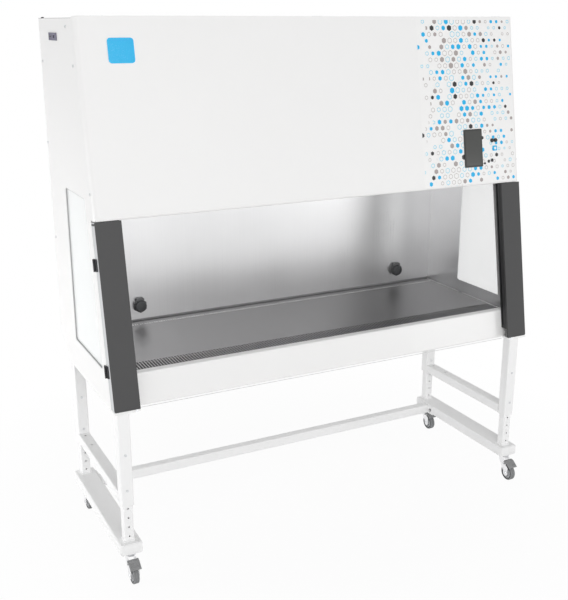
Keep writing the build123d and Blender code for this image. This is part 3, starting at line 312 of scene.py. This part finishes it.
nodeFinish = {
    "cabinetCoat": ["side_panel_left", "side_panel_right", "back_panel", "base_pan", "top_panel", "fascia_door",
                    "exhaust_grille", "plenum_box"],
    "apronCoat": ["apron"],
    "standCoat": ["feet", "inner_legs", "leg_sleeves", "side_rails", "rear_crossbar"],
    "wallSteel": ["side_liners", "chamber_back_wall", "filter_frame", "air_diffuser"],
    "traySteel": ["worktop_tray", "drain_pan"],
    "clearPane": ["side_windows"],
    "sashPane": ["sash_glass"],
    "windowBead": ["window_seals"],
    "inletPlastic": ["mains_inlet"],
    "blackPlastic": ["sash_guides", "key_lock"],
    "glandPlastic": ["cable_glands"],
    "screenBezel": ["touchscreen"],
    "filterPaper": ["supply_filter", "exhaust_filter"],
    "motorPaint": ["blower_motor"],
    "castAluminium": ["blower_wheel", "sash_handle"],
    "lampWhite": ["lamp"],
    "barMetal": ["bar_body_left", "bar_body_right"],
    "barPlastic": ["bar_cover_left", "bar_cover_right"],
    "hingeSteel": ["bar_hinges_fixed", "bar_hinge_leaves_left", "bar_hinge_leaves_right"],
    "zincPlate": ["locking_bolts", "castor_races", "top_hinges_fixed", "top_hinge_leaves"],
    "buttonGrey": ["round_button_left", "round_button_right"],
    "cyanLens": ["power_button"],
    "frontWheel": ["castor_wheel_front_left", "castor_wheel_front_right"],
    "rearWheel": ["castor_wheel_rear_left", "castor_wheel_rear_right"],
    "forkPlate": ["castor_fork_" + corner for corner in corners],
    "brakeTread": ["brake_pedal_" + corner for corner in corners],
}
for finishName, members in nodeFinish.items():
    for member in members:
        nodes[member].data.materials.clear()
        nodes[member].data.materials.append(finishes[finishName].material)
bare = [n for n in nodes if not any(n in members for members in nodeFinish.values())]
print("finishes ready, nodes without one:", bare)


def deselectAll():
    if bpy.context.object and bpy.context.object.mode != "OBJECT":
        bpy.ops.object.mode_set(mode="OBJECT")
    bpy.ops.object.select_all(action="DESELECT")


def takeUp(piece):
    deselectAll()
    piece.select_set(True)
    bpy.context.view_layer.objects.active = piece


def start(kind, **settings):
    deselectAll()
    getattr(bpy.ops.mesh, f"primitive_{kind}_add")(**settings)
    return bpy.context.object


def startBox(x, y, z):
    # cube of the given size, with its scale applied
    box = start("cube", size=1)
    box.scale = (x, y, z)
    bpy.ops.object.transform_apply(location=False, rotation=False, scale=True)
    return box


def shape(piece, choose, *steps):
    # selects the faces that choose(centre, normal) accepts, then runs mesh operators on them
    takeUp(piece)
    for v in piece.data.vertices:
        v.select = False
    for e in piece.data.edges:
        e.select = False
    for p in piece.data.polygons:
        p.select = bool(choose(p.center, p.normal))
    bpy.ops.object.mode_set(mode="EDIT")
    bpy.ops.mesh.select_mode(type="FACE")
    for operator, settings in steps:
        getattr(bpy.ops.mesh, operator)(**settings)
    bpy.ops.object.mode_set(mode="OBJECT")


def bevelEdges(piece, choose, width, segments):
    # bevels the edges that choose(one end, other end) accepts
    takeUp(piece)
    bpy.ops.object.mode_set(mode="EDIT")
    bpy.ops.mesh.select_mode(type="EDGE")
    bpy.ops.mesh.select_all(action="DESELECT")
    bpy.ops.object.mode_set(mode="OBJECT")
    for e in piece.data.edges:
        a, b = (piece.data.vertices[i].co for i in e.vertices)
        e.select = bool(choose(a, b))
    bpy.ops.object.mode_set(mode="EDIT")
    bpy.ops.mesh.bevel(offset=width, segments=segments)
    bpy.ops.object.mode_set(mode="OBJECT")


def upright(a, b):
    return abs(a.z - b.z) > 1e-5


def facesUp(c, n):
    return n.z > 0.9


def pull(x=0.0, y=0.0, z=0.0):
    return ("extrude_region_move", {"TRANSFORM_OT_translate": {"value": (x, y, z)}})


def swell(amount):
    return ("extrude_region_shrink_fatten", {"TRANSFORM_OT_shrink_fatten": {"value": amount}})


def inset(thickness, depth=0.0):
    return ("inset", {"thickness": thickness, "depth": depth})


def modify(piece, kind, **settings):
    takeUp(piece)
    modifier = piece.modifiers.new(kind.title(), kind)
    for label, value in settings.items():
        setattr(modifier, label, value)
    bpy.ops.object.modifier_apply(modifier=modifier.name)


def settle(piece, name, body, finish, place=(0, 0, 0), turn=(0, 0, 0), angle=35):
    # puts a finished piece in its place, with its own mesh at the origin
    takeUp(piece)
    bpy.ops.object.transform_apply(location=True, rotation=True, scale=True)
    piece.data.transform(Matrix.Translation(Vector(place)) @ Euler(turn).to_matrix().to_4x4())
    bpy.ops.object.shade_smooth_by_angle(angle=math.radians(angle))
    piece.name = name
    piece.data.name = name
    piece.data.materials.clear()
    piece.data.materials.append(finishes[finish].material)
    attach(piece, body)
    return piece


def another(piece):
    deselectAll()
    twin = piece.copy()
    twin.data = piece.data.copy()
    bpy.context.collection.objects.link(twin)
    return twin


def placeAll(pattern, name, body, finish, places):
    # copies of one small piece, joined into one
    copies = []
    for place, turn in places:
        twin = another(pattern)
        twin.data.transform(Matrix.Translation(Vector(place)) @ Euler(turn).to_matrix().to_4x4())
        copies.append(twin)
    deselectAll()
    for twin in copies:
        twin.select_set(True)
    bpy.context.view_layer.objects.active = copies[0]
    if len(copies) > 1:
        bpy.ops.object.join()
    return settle(copies[0], name, body, finish)


def drop(*pieces):
    for piece in pieces:
        bpy.data.objects.remove(piece)


printArea = {"left": 0.462, "right": 0.952, "bottom": 1.43, "top": 2.118, "thickness": 0.00025,
             "pitch": 0.0300, "rise": 0.866,                      # a cell's width, and its height as a share of it
             "smallest": 0.17, "spread": 0.09, "widest": 0.64,    # the widest motifs stand at this x
             "swelling": 0.14, "reach": 0.22, "line": 0.080, "fade": 0.08,
             "cyan": (0.0, 0.44, 0.80), "stone": (0.38, 0.34, 0.33), "ink": (0.018, 0.018, 0.02),
             "paleCyan": (0.20, 0.62, 0.80), "paleStone": (0.50, 0.47, 0.46)}


def printFinish(look):
    # hexagons, filled or in outline, in a staggered grid that thins out to the left
    f = Finish("fasciaPrint", Metallic=0.0, IOR=1.5)
    x, _, z = f.axes(f.place)
    up = z / (math.cos(lean) * look["pitch"] * look["rise"])
    row = up.floor()
    along = x / look["pitch"] + 0.5 * (row % 2.0)
    cell = f.add("ShaderNodeCombineXYZ", {}, {"X": along.floor(), "Y": row})
    dice = f.add("ShaderNodeTexWhiteNoise", {}, {"Vector": cell}, "Color")
    kind, grade, keep = f.add("ShaderNodeSeparateColor", {}, {0: dice}, (0, 1, 2))
    across = abs(along % 1.0 - 0.5)
    tall = abs(up % 1.0 - 0.5) * look["rise"]
    slope = 0.5 * across + 0.866 * tall
    middle = (1 - abs(x - look["widest"]) / look["reach"]).atLeast(0.0)
    size = look["smallest"] + look["spread"] * grade + look["swelling"] * middle
    inner = size - look["line"]
    filled = (across < size) * (slope < size)
    hollow = filled - (across < inner) * (slope < inner)
    shown = keep < ((x - look["left"]) / look["fade"]).atMost(0.96)
    picture = f.blend(hollow * shown * (kind > 0.46), coatLook["colour"], look["paleStone"])
    picture = f.blend(hollow * shown * (kind > 0.72), picture, look["paleCyan"])
    for share, ink in ((0.38, "cyan"), (0.20, "stone"), (0.06, "ink")):
        picture = f.blend(filled * shown * (kind < share), picture, look[ink])
    f.feed("Base Color", picture)
    peel = f.noise(coatLook["peel"], 2)
    f.feed("Roughness", coatLook["roughness"] + 0.10 * peel)
    f.bump(peel, 0.25, 0.0003)
    return f


def fasciaPrint():
    look = printArea
    finishes["fasciaPrint"] = printFinish(look)
    film = start("grid", x_subdivisions=2, y_subdivisions=2, size=1)
    film.scale = (look["right"] - look["left"], (look["top"] - look["bottom"]) / math.cos(lean), 1)
    bpy.ops.object.transform_apply(location=False, rotation=False, scale=True)
    modify(film, "SOLIDIFY", thickness=look["thickness"], offset=1.0)
    middle = frontPoint((look["left"] + look["right"]) / 2, (look["bottom"] + look["top"]) / 2)
    settle(film, "fasciaPrint", "fascia", "fasciaPrint", middle, faceTurn)


def badgePlate():
    # bare plate with a fine rim
    look = {"x": -0.812, "z": 2.013, "size": (0.098, 0.089, 0.0016), "corner": 0.012}
    plate = startBox(*look["size"])
    bevelEdges(plate, upright, look["corner"], 6)
    shape(plate, facesUp, inset(0.004), inset(0.0006), pull(z=-0.0004))
    place = frontPoint(look["x"], look["z"], look["size"][2] / 2)
    settle(plate, "badgePlate", "fascia", "cyanLens", place, faceTurn)


def fasciaLip():
    # half-round bead along the lower edge of the door
    look = {"length": 1.90, "radius": 0.0028, "z": 1.4275, "sink": 0.0012}
    bead = start("cylinder", vertices=20, radius=look["radius"], depth=look["length"],
                 rotation=(0, math.radians(90), 0))
    bpy.ops.object.transform_apply(location=False, rotation=True, scale=False)
    shape(bead, lambda c, n: abs(n.x) > 0.9, inset(0.0009), swell(0.0012))
    place = frontPoint(0, look["z"], -look["sink"])
    settle(bead, "fasciaLip", "fascia", "cabinetCoat", place, faceTurn, 60)


fasciaPrint()
badgePlate()
fasciaLip()
print("fascia trim done")


def touchPanel():
    # glass sheet inside the bezel, with a shallow edge all round, and a nub below it
    look = {"x": 0.727, "z": 1.583, "size": (0.086, 0.150, 0.0012), "corner": 0.004, "proud": 0.0025,
            "nub": (0.786, 1.515), "nubRadius": 0.0042, "nubHeight": 0.005}
    sheet = startBox(*look["size"])
    bevelEdges(sheet, upright, look["corner"], 5)
    shape(sheet, facesUp, inset(0.0022), pull(z=-0.0003), inset(0.0012, 0.0001))
    lift = look["proud"] + look["size"][2] / 2
    settle(sheet, "touchPanel", "fascia", "screenGlass", frontPoint(look["x"], look["z"], lift), faceTurn)
    nub = start("cylinder", vertices=20, radius=look["nubRadius"], depth=look["nubHeight"])
    shape(nub, facesUp, inset(0.0010, 0.0008), inset(0.0009, 0.0003))
    settle(nub, "screenNub", "fascia", "screenBezel", frontPoint(*look["nub"], look["nubHeight"] / 2), faceTurn)


def buttonTrim():
    # collars round the two caps and the lock, and a pale dot on the lit button
    look = {"caps": (0.83175, 0.85025), "capZ": 1.611, "capRadius": 0.0090, "capDeep": 0.0012,
            "lock": (0.827, 1.526), "lockRadius": 0.0094, "lockDeep": 0.0014,
            "lit": (0.845, 1.577), "dotRadius": 0.0058, "dotDeep": 0.0006, "dotProud": 0.0043}
    collar = start("cylinder", vertices=40, radius=look["capRadius"], depth=look["capDeep"], end_fill_type="NOTHING")
    modify(collar, "SOLIDIFY", thickness=0.0006, offset=-1.0)
    shape(collar, facesUp, inset(0.00012, 0.0002))
    rings = [(frontPoint(x, look["capZ"], look["capDeep"] / 2), faceTurn) for x in look["caps"]]
    placeAll(collar, "capCollars", "fascia", "screenBezel", rings)
    ring = start("cylinder", vertices=40, radius=look["lockRadius"], depth=look["lockDeep"], end_fill_type="NOTHING")
    modify(ring, "SOLIDIFY", thickness=0.0020, offset=-1.0)
    shape(ring, facesUp, inset(0.0003, 0.0003))
    settle(ring, "lockRing", "fascia", "zincPlate", frontPoint(*look["lock"], look["lockDeep"] / 2), faceTurn)
    dot = start("cylinder", vertices=28, radius=look["dotRadius"], depth=look["dotDeep"])
    shape(dot, facesUp, inset(0.0008, 0.0002), inset(0.0022), pull(z=-0.0002))
    settle(dot, "litDot", "power_button", "lampWhite", frontPoint(*look["lit"], look["dotProud"]), faceTurn)
    drop(collar)


touchPanel()
buttonTrim()
print("controls done")


def screwHead(radius, height):
    # low cheese head with a socket
    head = start("cylinder", vertices=20, radius=radius, depth=height, location=(0, 0, height / 2))
    bpy.ops.object.transform_apply(location=True, rotation=False, scale=False)
    shape(head, facesUp, inset(radius * 0.18), pull(z=height * 0.25), inset(radius * 0.35), pull(z=-height * 0.7))
    return head


def cabinetScrews():
    # heads on both walls, under the sill and along the lid's rear edge
    look = {"radius": 0.0055, "height": 0.0022, "wallX": 0.975,
            "walls": [(-0.093, 1.961), (-0.210, 1.519), (0.391, 1.639), (0.376, 1.245), (0.376, 1.961),
                      (-0.020, 2.095)],
            "sillX": (-0.89, 0.89), "sillZ": 0.7245,
            "lidX": (-0.88, -0.45, 0, 0.45, 0.88), "lidY": 0.37, "lidZ": 2.1235}
    head = screwHead(look["radius"], look["height"])
    for name, side in (("screwsLeft", -1), ("screwsRight", 1)):
        turn = (0, side * math.radians(90), 0)
        places = [((side * look["wallX"], y, z), turn) for y, z in look["walls"]]
        placeAll(head, name, "cabinet", "zincPlate", places)
    sill = [(frontPoint(x, look["sillZ"]), faceTurn) for x in look["sillX"]]
    placeAll(head, "screwsSill", "cabinet", "zincPlate", sill)
    lid = [((x, look["lidY"], look["lidZ"]), flat) for x in look["lidX"]]
    placeAll(head, "screwsTop", "cabinet", "zincPlate", lid)
    drop(head)


def rearNub():
    # cable guide at the top of the rear left edge
    look = {"x": -0.968, "y": 0.362, "z": 2.1235, "radius": 0.0055, "height": 0.004}
    nub = start("cylinder", vertices=24, radius=look["radius"], depth=look["height"],
                location=(0, 0, look["height"] / 2))
    bpy.ops.object.transform_apply(location=True, rotation=False, scale=False)
    shape(nub, facesUp, inset(0.0015, 0.0015), inset(0.002), pull(z=-0.003))
    settle(nub, "rearNub", "cabinet", "blackPlastic", (look["x"], look["y"], look["z"]))


def lidShadowLines():
    # dark strip between each wall and the lid, along the outer top edge: painted shadow of the gap under the lid
    look = {"x": 0.9742, "front": -0.098, "rear": 0.402, "z": 2.1240, "wide": 0.0016, "tall": 0.0012}
    line = startBox(look["wide"], look["rear"] - look["front"], look["tall"])
    bevelEdges(line, lambda a, b: abs(a.y - b.y) > 0.1 and min(a.z, b.z) > 0, 0.0005, 2)
    places = [((s * look["x"], (look["front"] + look["rear"]) / 2, look["z"]), flat) for s in (-1, 1)]
    placeAll(line, "lidShadowLines", "cabinet", "seamShade", places)
    drop(line)


cabinetScrews()
rearNub()
lidShadowLines()
print("wall fasteners done")


trayTop = 0.845


def glandTrim():
    # grip ribs round each cap, the rubber disc that closes its bore, and the lug on top of its nut
    look = {"places": ((-0.648, 0.915), (0.697, 0.915)), "face": 0.27875, "ribs": 24, "inner": 0.0252,
            "ribsDeep": 0.0062, "ribsBack": 0.0096, "ribHeight": 0.0014,
            "discRadius": 0.0158, "discDeep": 0.004, "discBack": 0.005,
            "lug": (0.036, 0.0120, 0.0150), "lugY": 0.29905, "lugRise": 0.0290}
    ribs = start("cylinder", vertices=look["ribs"] * 3, radius=look["inner"] + 0.0006, depth=look["ribsDeep"],
                 end_fill_type="NOTHING")
    modify(ribs, "SOLIDIFY", thickness=0.0005, offset=-1.0)
    step = 2 * math.pi / look["ribs"]

    def crest(c, n):
        outside = c.xy.length > look["inner"] + 0.0004 and abs(n.z) < 0.5
        return outside and math.atan2(c.y, c.x) % step < step / 3
    shape(ribs, crest, ("extrude_faces_move", {"TRANSFORM_OT_shrink_fatten": {"value": look["ribHeight"]}}))
    disc = start("cylinder", vertices=36, radius=look["discRadius"], depth=look["discDeep"])
    shape(disc, facesUp, inset(0.003, 0.001), inset(0.003, -0.0006), inset(0.004, 0.0012))
    lug = startBox(*look["lug"])
    bevelEdges(lug, lambda a, b: upright(a, b) and a.y > 0, 0.0045, 3)
    shape(lug, lambda c, n: n.y > 0.9, inset(0.0020, 0.0008))

    def spots(y, rise=0.0):
        return [((x, y, z + rise), wallTurn) for x, z in look["places"]]
    placeAll(ribs, "glandRibs", "cabinet", "glandPlastic", spots(look["face"] + look["ribsBack"]))
    placeAll(disc, "glandDiscs", "cabinet", "glandPlastic", spots(look["face"] + look["discBack"]))
    placeAll(lug, "glandLugs", "cabinet", "lugPlastic", spots(look["lugY"], look["lugRise"]))
    drop(ribs, disc, lug)


def footShadowStrip():
    # dark strip on the tray's rear edge, rounded along its top, against the back wall: painted shade of the shadow
    # line in that corner
    look = {"z": 0.8488, "y": 0.3085, "half": 0.899, "tall": 0.007, "proud": 0.0021}
    strip = startBox(2 * look["half"], look["tall"], look["proud"])
    bevelEdges(strip, lambda a, b: min(a.z, b.z) > 0 and abs(a.x - b.x) > 0.1, 0.0012, 4)
    place = (0, look["y"] - look["proud"] / 2, look["z"])
    settle(strip, "footShadowStrip", "tray", "seamShade", place, wallTurn, 60)


def rowOf(count, pitch):
    # x of each place in a row about the middle
    return [(i - (count - 1) / 2) * pitch for i in range(count)]


def trayRimHighlights():
    # raised edge at both ends of each hole of the rear row, in pale steel as a painted highlight
    look = {"y": 0.25375, "pitch": 0.022, "count": 80, "end": 0.0055, "lip": (0.0040, 0.0080, 0.0008)}
    lip = startBox(*look["lip"])
    shape(lip, facesUp, inset(0.0008, 0.0004))
    places = [((x + s * look["end"], look["y"], trayTop + look["lip"][2] / 2), flat)
              for x in rowOf(look["count"], look["pitch"]) for s in (-1, 1)]
    placeAll(lip, "trayRimHighlights", "tray", "highlightSteel", places)
    drop(lip)


def slotRibs():
    # land between two slots in a lighter steel than the tray, as a painted highlight, and a black sheet on a frame
    # under all of them, as painted shade in the slots
    look = {"y": -0.22677, "rib": (0.0038, 0.0755, 0.0008), "sink": 0.0002, "pitch": 0.012, "count": 148,
            "shadeSheet": (1.778, 0.079, 0.0012), "below": 0.0110}
    rib = startBox(*look["rib"])
    shape(rib, facesUp, inset(0.0008, 0.0002))
    places = [((x, look["y"], trayTop + look["rib"][2] / 2 - look["sink"]), flat)
              for x in rowOf(look["count"], look["pitch"])]
    placeAll(rib, "slotRibs", "tray", "ribHighlightSteel", places)
    drop(rib)
    shadeSheet = startBox(*look["shadeSheet"])
    shape(shadeSheet, facesUp, inset(0.003, 0.0008), inset(0.002), pull(z=-0.0006))
    settle(shadeSheet, "slotShadeSheet", "tray", "shadeBlack", (0, look["y"], trayTop - look["below"]))


def trayEdgeHighlights():
    # bead along each side of the tray, left out at the lifting notch, in pale steel as a painted highlight line
    look = {"x": 0.8925, "wide": 0.0026, "tall": 0.0012, "spans": [(-0.2650, 0.0060), (0.0320, 0.3030)]}
    for part, (front, rear) in enumerate(look["spans"]):
        bead = startBox(look["wide"], rear - front, look["tall"])
        bevelEdges(bead, lambda a, b: min(a.z, b.z) > 0, 0.0004, 3)
        places = [((s * look["x"], (front + rear) / 2, trayTop + look["tall"] / 2), flat) for s in (-1, 1)]
        placeAll(bead, f"trayEdgeHighlights{part}", "tray", "highlightSteel", places)
        drop(bead)


glandTrim()
footShadowStrip()
trayRimHighlights()
slotRibs()
trayEdgeHighlights()
print("chamber trim done")


def apronTrim():
    # hemmed lower edge of the apron
    look = {"z": 0.7235, "depth": 0.044, "hem": (1.748, 0.0024, 0.0016)}
    hem = startBox(*look["hem"])
    bevelEdges(hem, lambda a, b: abs(a.x - b.x) > 0.1 and min(a.z, b.z) > 0, 0.0006, 3)
    place = frontPoint(0, look["z"], look["hem"][2] / 2 - look["depth"])
    settle(hem, "apronHem", "cabinet", "hemShade", place, faceTurn, 60)


apronTrim()


def barCaps():
    # dark end cap on each light side strip
    look = {"x": 0.9735, "top": 1.4145, "depth": 0.0225, "cap": (0.0044, 0.008, 0.0375)}
    cap = startBox(*look["cap"])
    bevelEdges(cap, lambda a, b: True, 0.0008, 2)
    shape(cap, lambda c, n: abs(n.x) > 0.9, inset(0.0025, -0.0003))
    for side, name in ((-1, "left"), (1, "right")):
        place = frontPoint(side * look["x"], look["top"], -look["depth"])
        placeAll(cap, "barCap" + name.title(), "bar_" + name, "blackPlastic", [(place, faceTurn)])
    drop(cap)


barCaps()
print("apron and bars done")


def standTrim():
    # plugs in the ends of the feet, and weld beads round the legs' lower ends
    look = {"plug": (0.082, 0.041, 0.0030), "front": -0.35645, "rear": 0.34095, "z": 0.1435,
            "bead": (0.0462, 0.0462, 0.0032), "legs": (-0.31325, 0.31425), "footTop": 0.167}
    plug = startBox(*look["plug"])
    bevelEdges(plug, upright, 0.005, 4)
    modify(plug, "BEVEL", width=0.0009, segments=2)
    backTurn = (math.radians(-90), 0, 0)
    ends = [((s * castor["x"], look[end], look["z"]), turn)
            for end, turn in (("front", wallTurn), ("rear", backTurn)) for s in (-1, 1)]
    placeAll(plug, "footPlugs", "stand", "standCoat", ends)
    bead = startBox(*look["bead"])
    bevelEdges(bead, upright, 0.006, 4)
    shape(bead, facesUp, inset(0.0016, 0.0004))
    beadZ = look["footTop"] + look["bead"][2] / 2
    feet = [((s * castor["x"], y, beadZ), flat) for s in (-1, 1) for y in look["legs"]]
    placeAll(bead, "weldBeads", "stand", "standCoat", feet)
    drop(plug, bead)


def flangeCaps():
    # dark cap over each hexagon head on the crossbar's flanges
    look = {"x": 0.888, "y": 0.25125, "offset": 0.0405, "z": 0.142, "radius": 0.0074, "deep": 0.0048}
    cap = start("cylinder", vertices=6, radius=look["radius"], depth=look["deep"])
    bevelEdges(cap, lambda a, b: a.z > 0 and b.z > 0, 0.0008, 2)
    shape(cap, facesUp, inset(0.0020), inset(0.0004), pull(z=-0.0012))
    places = [((s * (look["x"] - look["deep"] / 2), look["y"] + t * look["offset"], look["z"]),
               (0, math.radians(-90 * s), 0)) for s in (-1, 1) for t in (-1, 1)]
    placeAll(cap, "flangeCaps", "stand", "lugPlastic", places)
    drop(cap)


def castorSpot(corner, side, out):
    # place on the axle of one castor, out from its middle
    end, wall = corner.split("_")
    return castor["x"] * (-1 if wall == "left" else 1) + side * out, castor[end], castor["z"]


def castorTrim():
    # nut with a washer face at both ends of each axle
    look = {"out": 0.0187, "radius": 0.0068, "deep": 0.0044}
    nut = start("cylinder", vertices=6, radius=look["radius"], depth=look["deep"])
    shape(nut, facesUp, inset(0.0013, 0.0006), inset(0.0012), pull(z=0.0008))
    for corner in corners:
        places = [(castorSpot(corner, s, look["out"]), (0, math.radians(90 * s), 0)) for s in (-1, 1)]
        placeAll(nut, "axleNuts_" + corner, "fork_" + corner, "zincPlate", places)
    drop(nut)


def forkCovers():
    # pressed plate outside each fork arm, from the axle up to the pedal's ear
    look = {"out": 0.0178, "radius": 0.0150, "thick": 0.0010, "rise": 0.0215}
    plate = start("cylinder", vertices=36, radius=look["radius"], depth=look["thick"])
    shape(plate, lambda c, n: n.y > 0.2, pull(y=look["rise"]))
    shape(plate, facesUp, inset(0.0018, 0.0004))
    for corner in corners:
        places = [(castorSpot(corner, s, look["out"]), (math.radians(90), 0, math.radians(90 * s))) for s in (-1, 1)]
        placeAll(plate, "forkCovers_" + corner, "fork_" + corner, "forkPlate", places)
    drop(plate)


standTrim()
flangeCaps()
castorTrim()
forkCovers()
print("stand and castors done")


def inletTrim():
    # three pins in the socket and the finger lip of the fuse drawer
    look = {"z": 2.058, "pin": (0.0064, 0.0018, 0.0045), "pinX": -0.9695, "pinY": (0.14675, 0.15275, 0.15875),
            "lip": (0.0026, 0.026, 0.0034), "lipX": -0.9800, "lipY": 0.20675}
    pin = startBox(*look["pin"])
    bevelEdges(pin, upright, 0.0005, 2)
    shape(pin, lambda c, n: n.x < -0.9, inset(0.0004, 0.0006))
    places = [((look["pinX"], y, look["z"]), flat) for y in look["pinY"]]
    placeAll(pin, "inletPins", "cabinet", "zincPlate", places)
    lip = startBox(*look["lip"])
    shape(lip, lambda c, n: n.x < -0.9, inset(0.0008, -0.0006))
    settle(lip, "drawerLip", "cabinet", "blackPlastic", (look["lipX"], look["lipY"], look["z"]))
    drop(pin)


inletTrim()
print("inlet trim done")


stage = {"floorAlbedo": 0.86, "nearGlow": 0.94, "fadeRadius": 1.2, "zenith": 0.22, "horizon": 1.0}


def stageSet():
    floor = start("grid", x_subdivisions=4, y_subdivisions=4, size=60)
    floor.name = "floor"
    ground = Finish("groundWhite", Base_Color=(*(3 * (stage["floorAlbedo"],)), 1), Roughness=0.9)
    x, y, _ = ground.axes(ground.place)
    fade = ((x * x + y * y) ** 0.5 / stage["fadeRadius"] - 0.6).atLeast(0.0).atMost(1.0)
    share = ground.seenPlainly() * (stage["nearGlow"] + (1 - stage["nearGlow"]) * fade)
    glow = ground.add("ShaderNodeEmission", {}, {"Strength": 1.0})
    lit = Wire(ground.tree, ground.shader.outputs[0])
    mixed = ground.add("ShaderNodeMixShader", {}, {0: share, 1: lit, 2: glow})
    mixed.plug(ground.tree.nodes["Material Output"].inputs["Surface"])
    floor.data.materials.append(ground.material)

    world = bpy.data.worlds.new("studio")
    bpy.context.scene.world = world
    sky = Graph(world)
    shell = sky.tree.nodes["Background"]
    shell.inputs["Color"].default_value = (1, 1, 1, 1)
    height = sky.axes(sky.add("ShaderNodeTexCoord", out="Generated"))[2].atLeast(0.0)
    light = stage["horizon"] - (stage["horizon"] - stage["zenith"]) * height
    seen = sky.seenPlainly()
    (seen + (1 - seen) * light).plug(shell.inputs["Strength"])


lamps = {
    "keyLamp": {"place": (-0.9, -5.6, 2.4), "target": (0, 0, 1.1), "size": 3.5, "power": 107},
    "fillLamp": {"place": (3.3, -3.3, 1.1), "target": (0.6, 0, 1.0), "size": 1.6, "power": 13},
    "sideLamp": {"place": (-3.5, 0.5, 0.72), "target": (-0.9, 0.2, 0.5), "size": 1.3, "power": 31},
    "chamberLamp": {"place": (-0.1, -0.08, 1.46), "target": (-0.1, 0.35, 1.2), "size": 1.5, "power": 2.1,
                    "tall": 0.14},
}


def softLamp(name, look):
    data = bpy.data.lights.new(name, "AREA")
    data.size, data.energy = look["size"], look["power"]
    if "tall" in look:
        data.shape, data.size_y = "RECTANGLE", look["tall"]
    made = bpy.data.objects.new(name, data)
    bpy.context.collection.objects.link(made)
    made.location = look["place"]
    aim = Vector(look["target"]) - Vector(look["place"])
    made.rotation_euler = aim.to_track_quat("-Z", "Y").to_euler()


stageSet()
for lampName, lampLook in lamps.items():
    softLamp(lampName, lampLook)

view = {"lens": 54.61, "sensor": 36, "place": (-1.8198, -3.3979, 2.1108), "down": 16.996, "turn": -26.991}
cameraData = bpy.data.cameras.new("view")
cameraData.lens = view["lens"]
cameraData.sensor_width = view["sensor"]
camera = bpy.data.objects.new("view", cameraData)
bpy.context.collection.objects.link(camera)
camera.location = view["place"]
camera.rotation_euler = (math.radians(90 - view["down"]), 0, math.radians(view["turn"]))
bpy.context.scene.camera = camera
bpy.context.scene.view_settings.view_transform = "Standard"
print("stage, lamps and camera set")
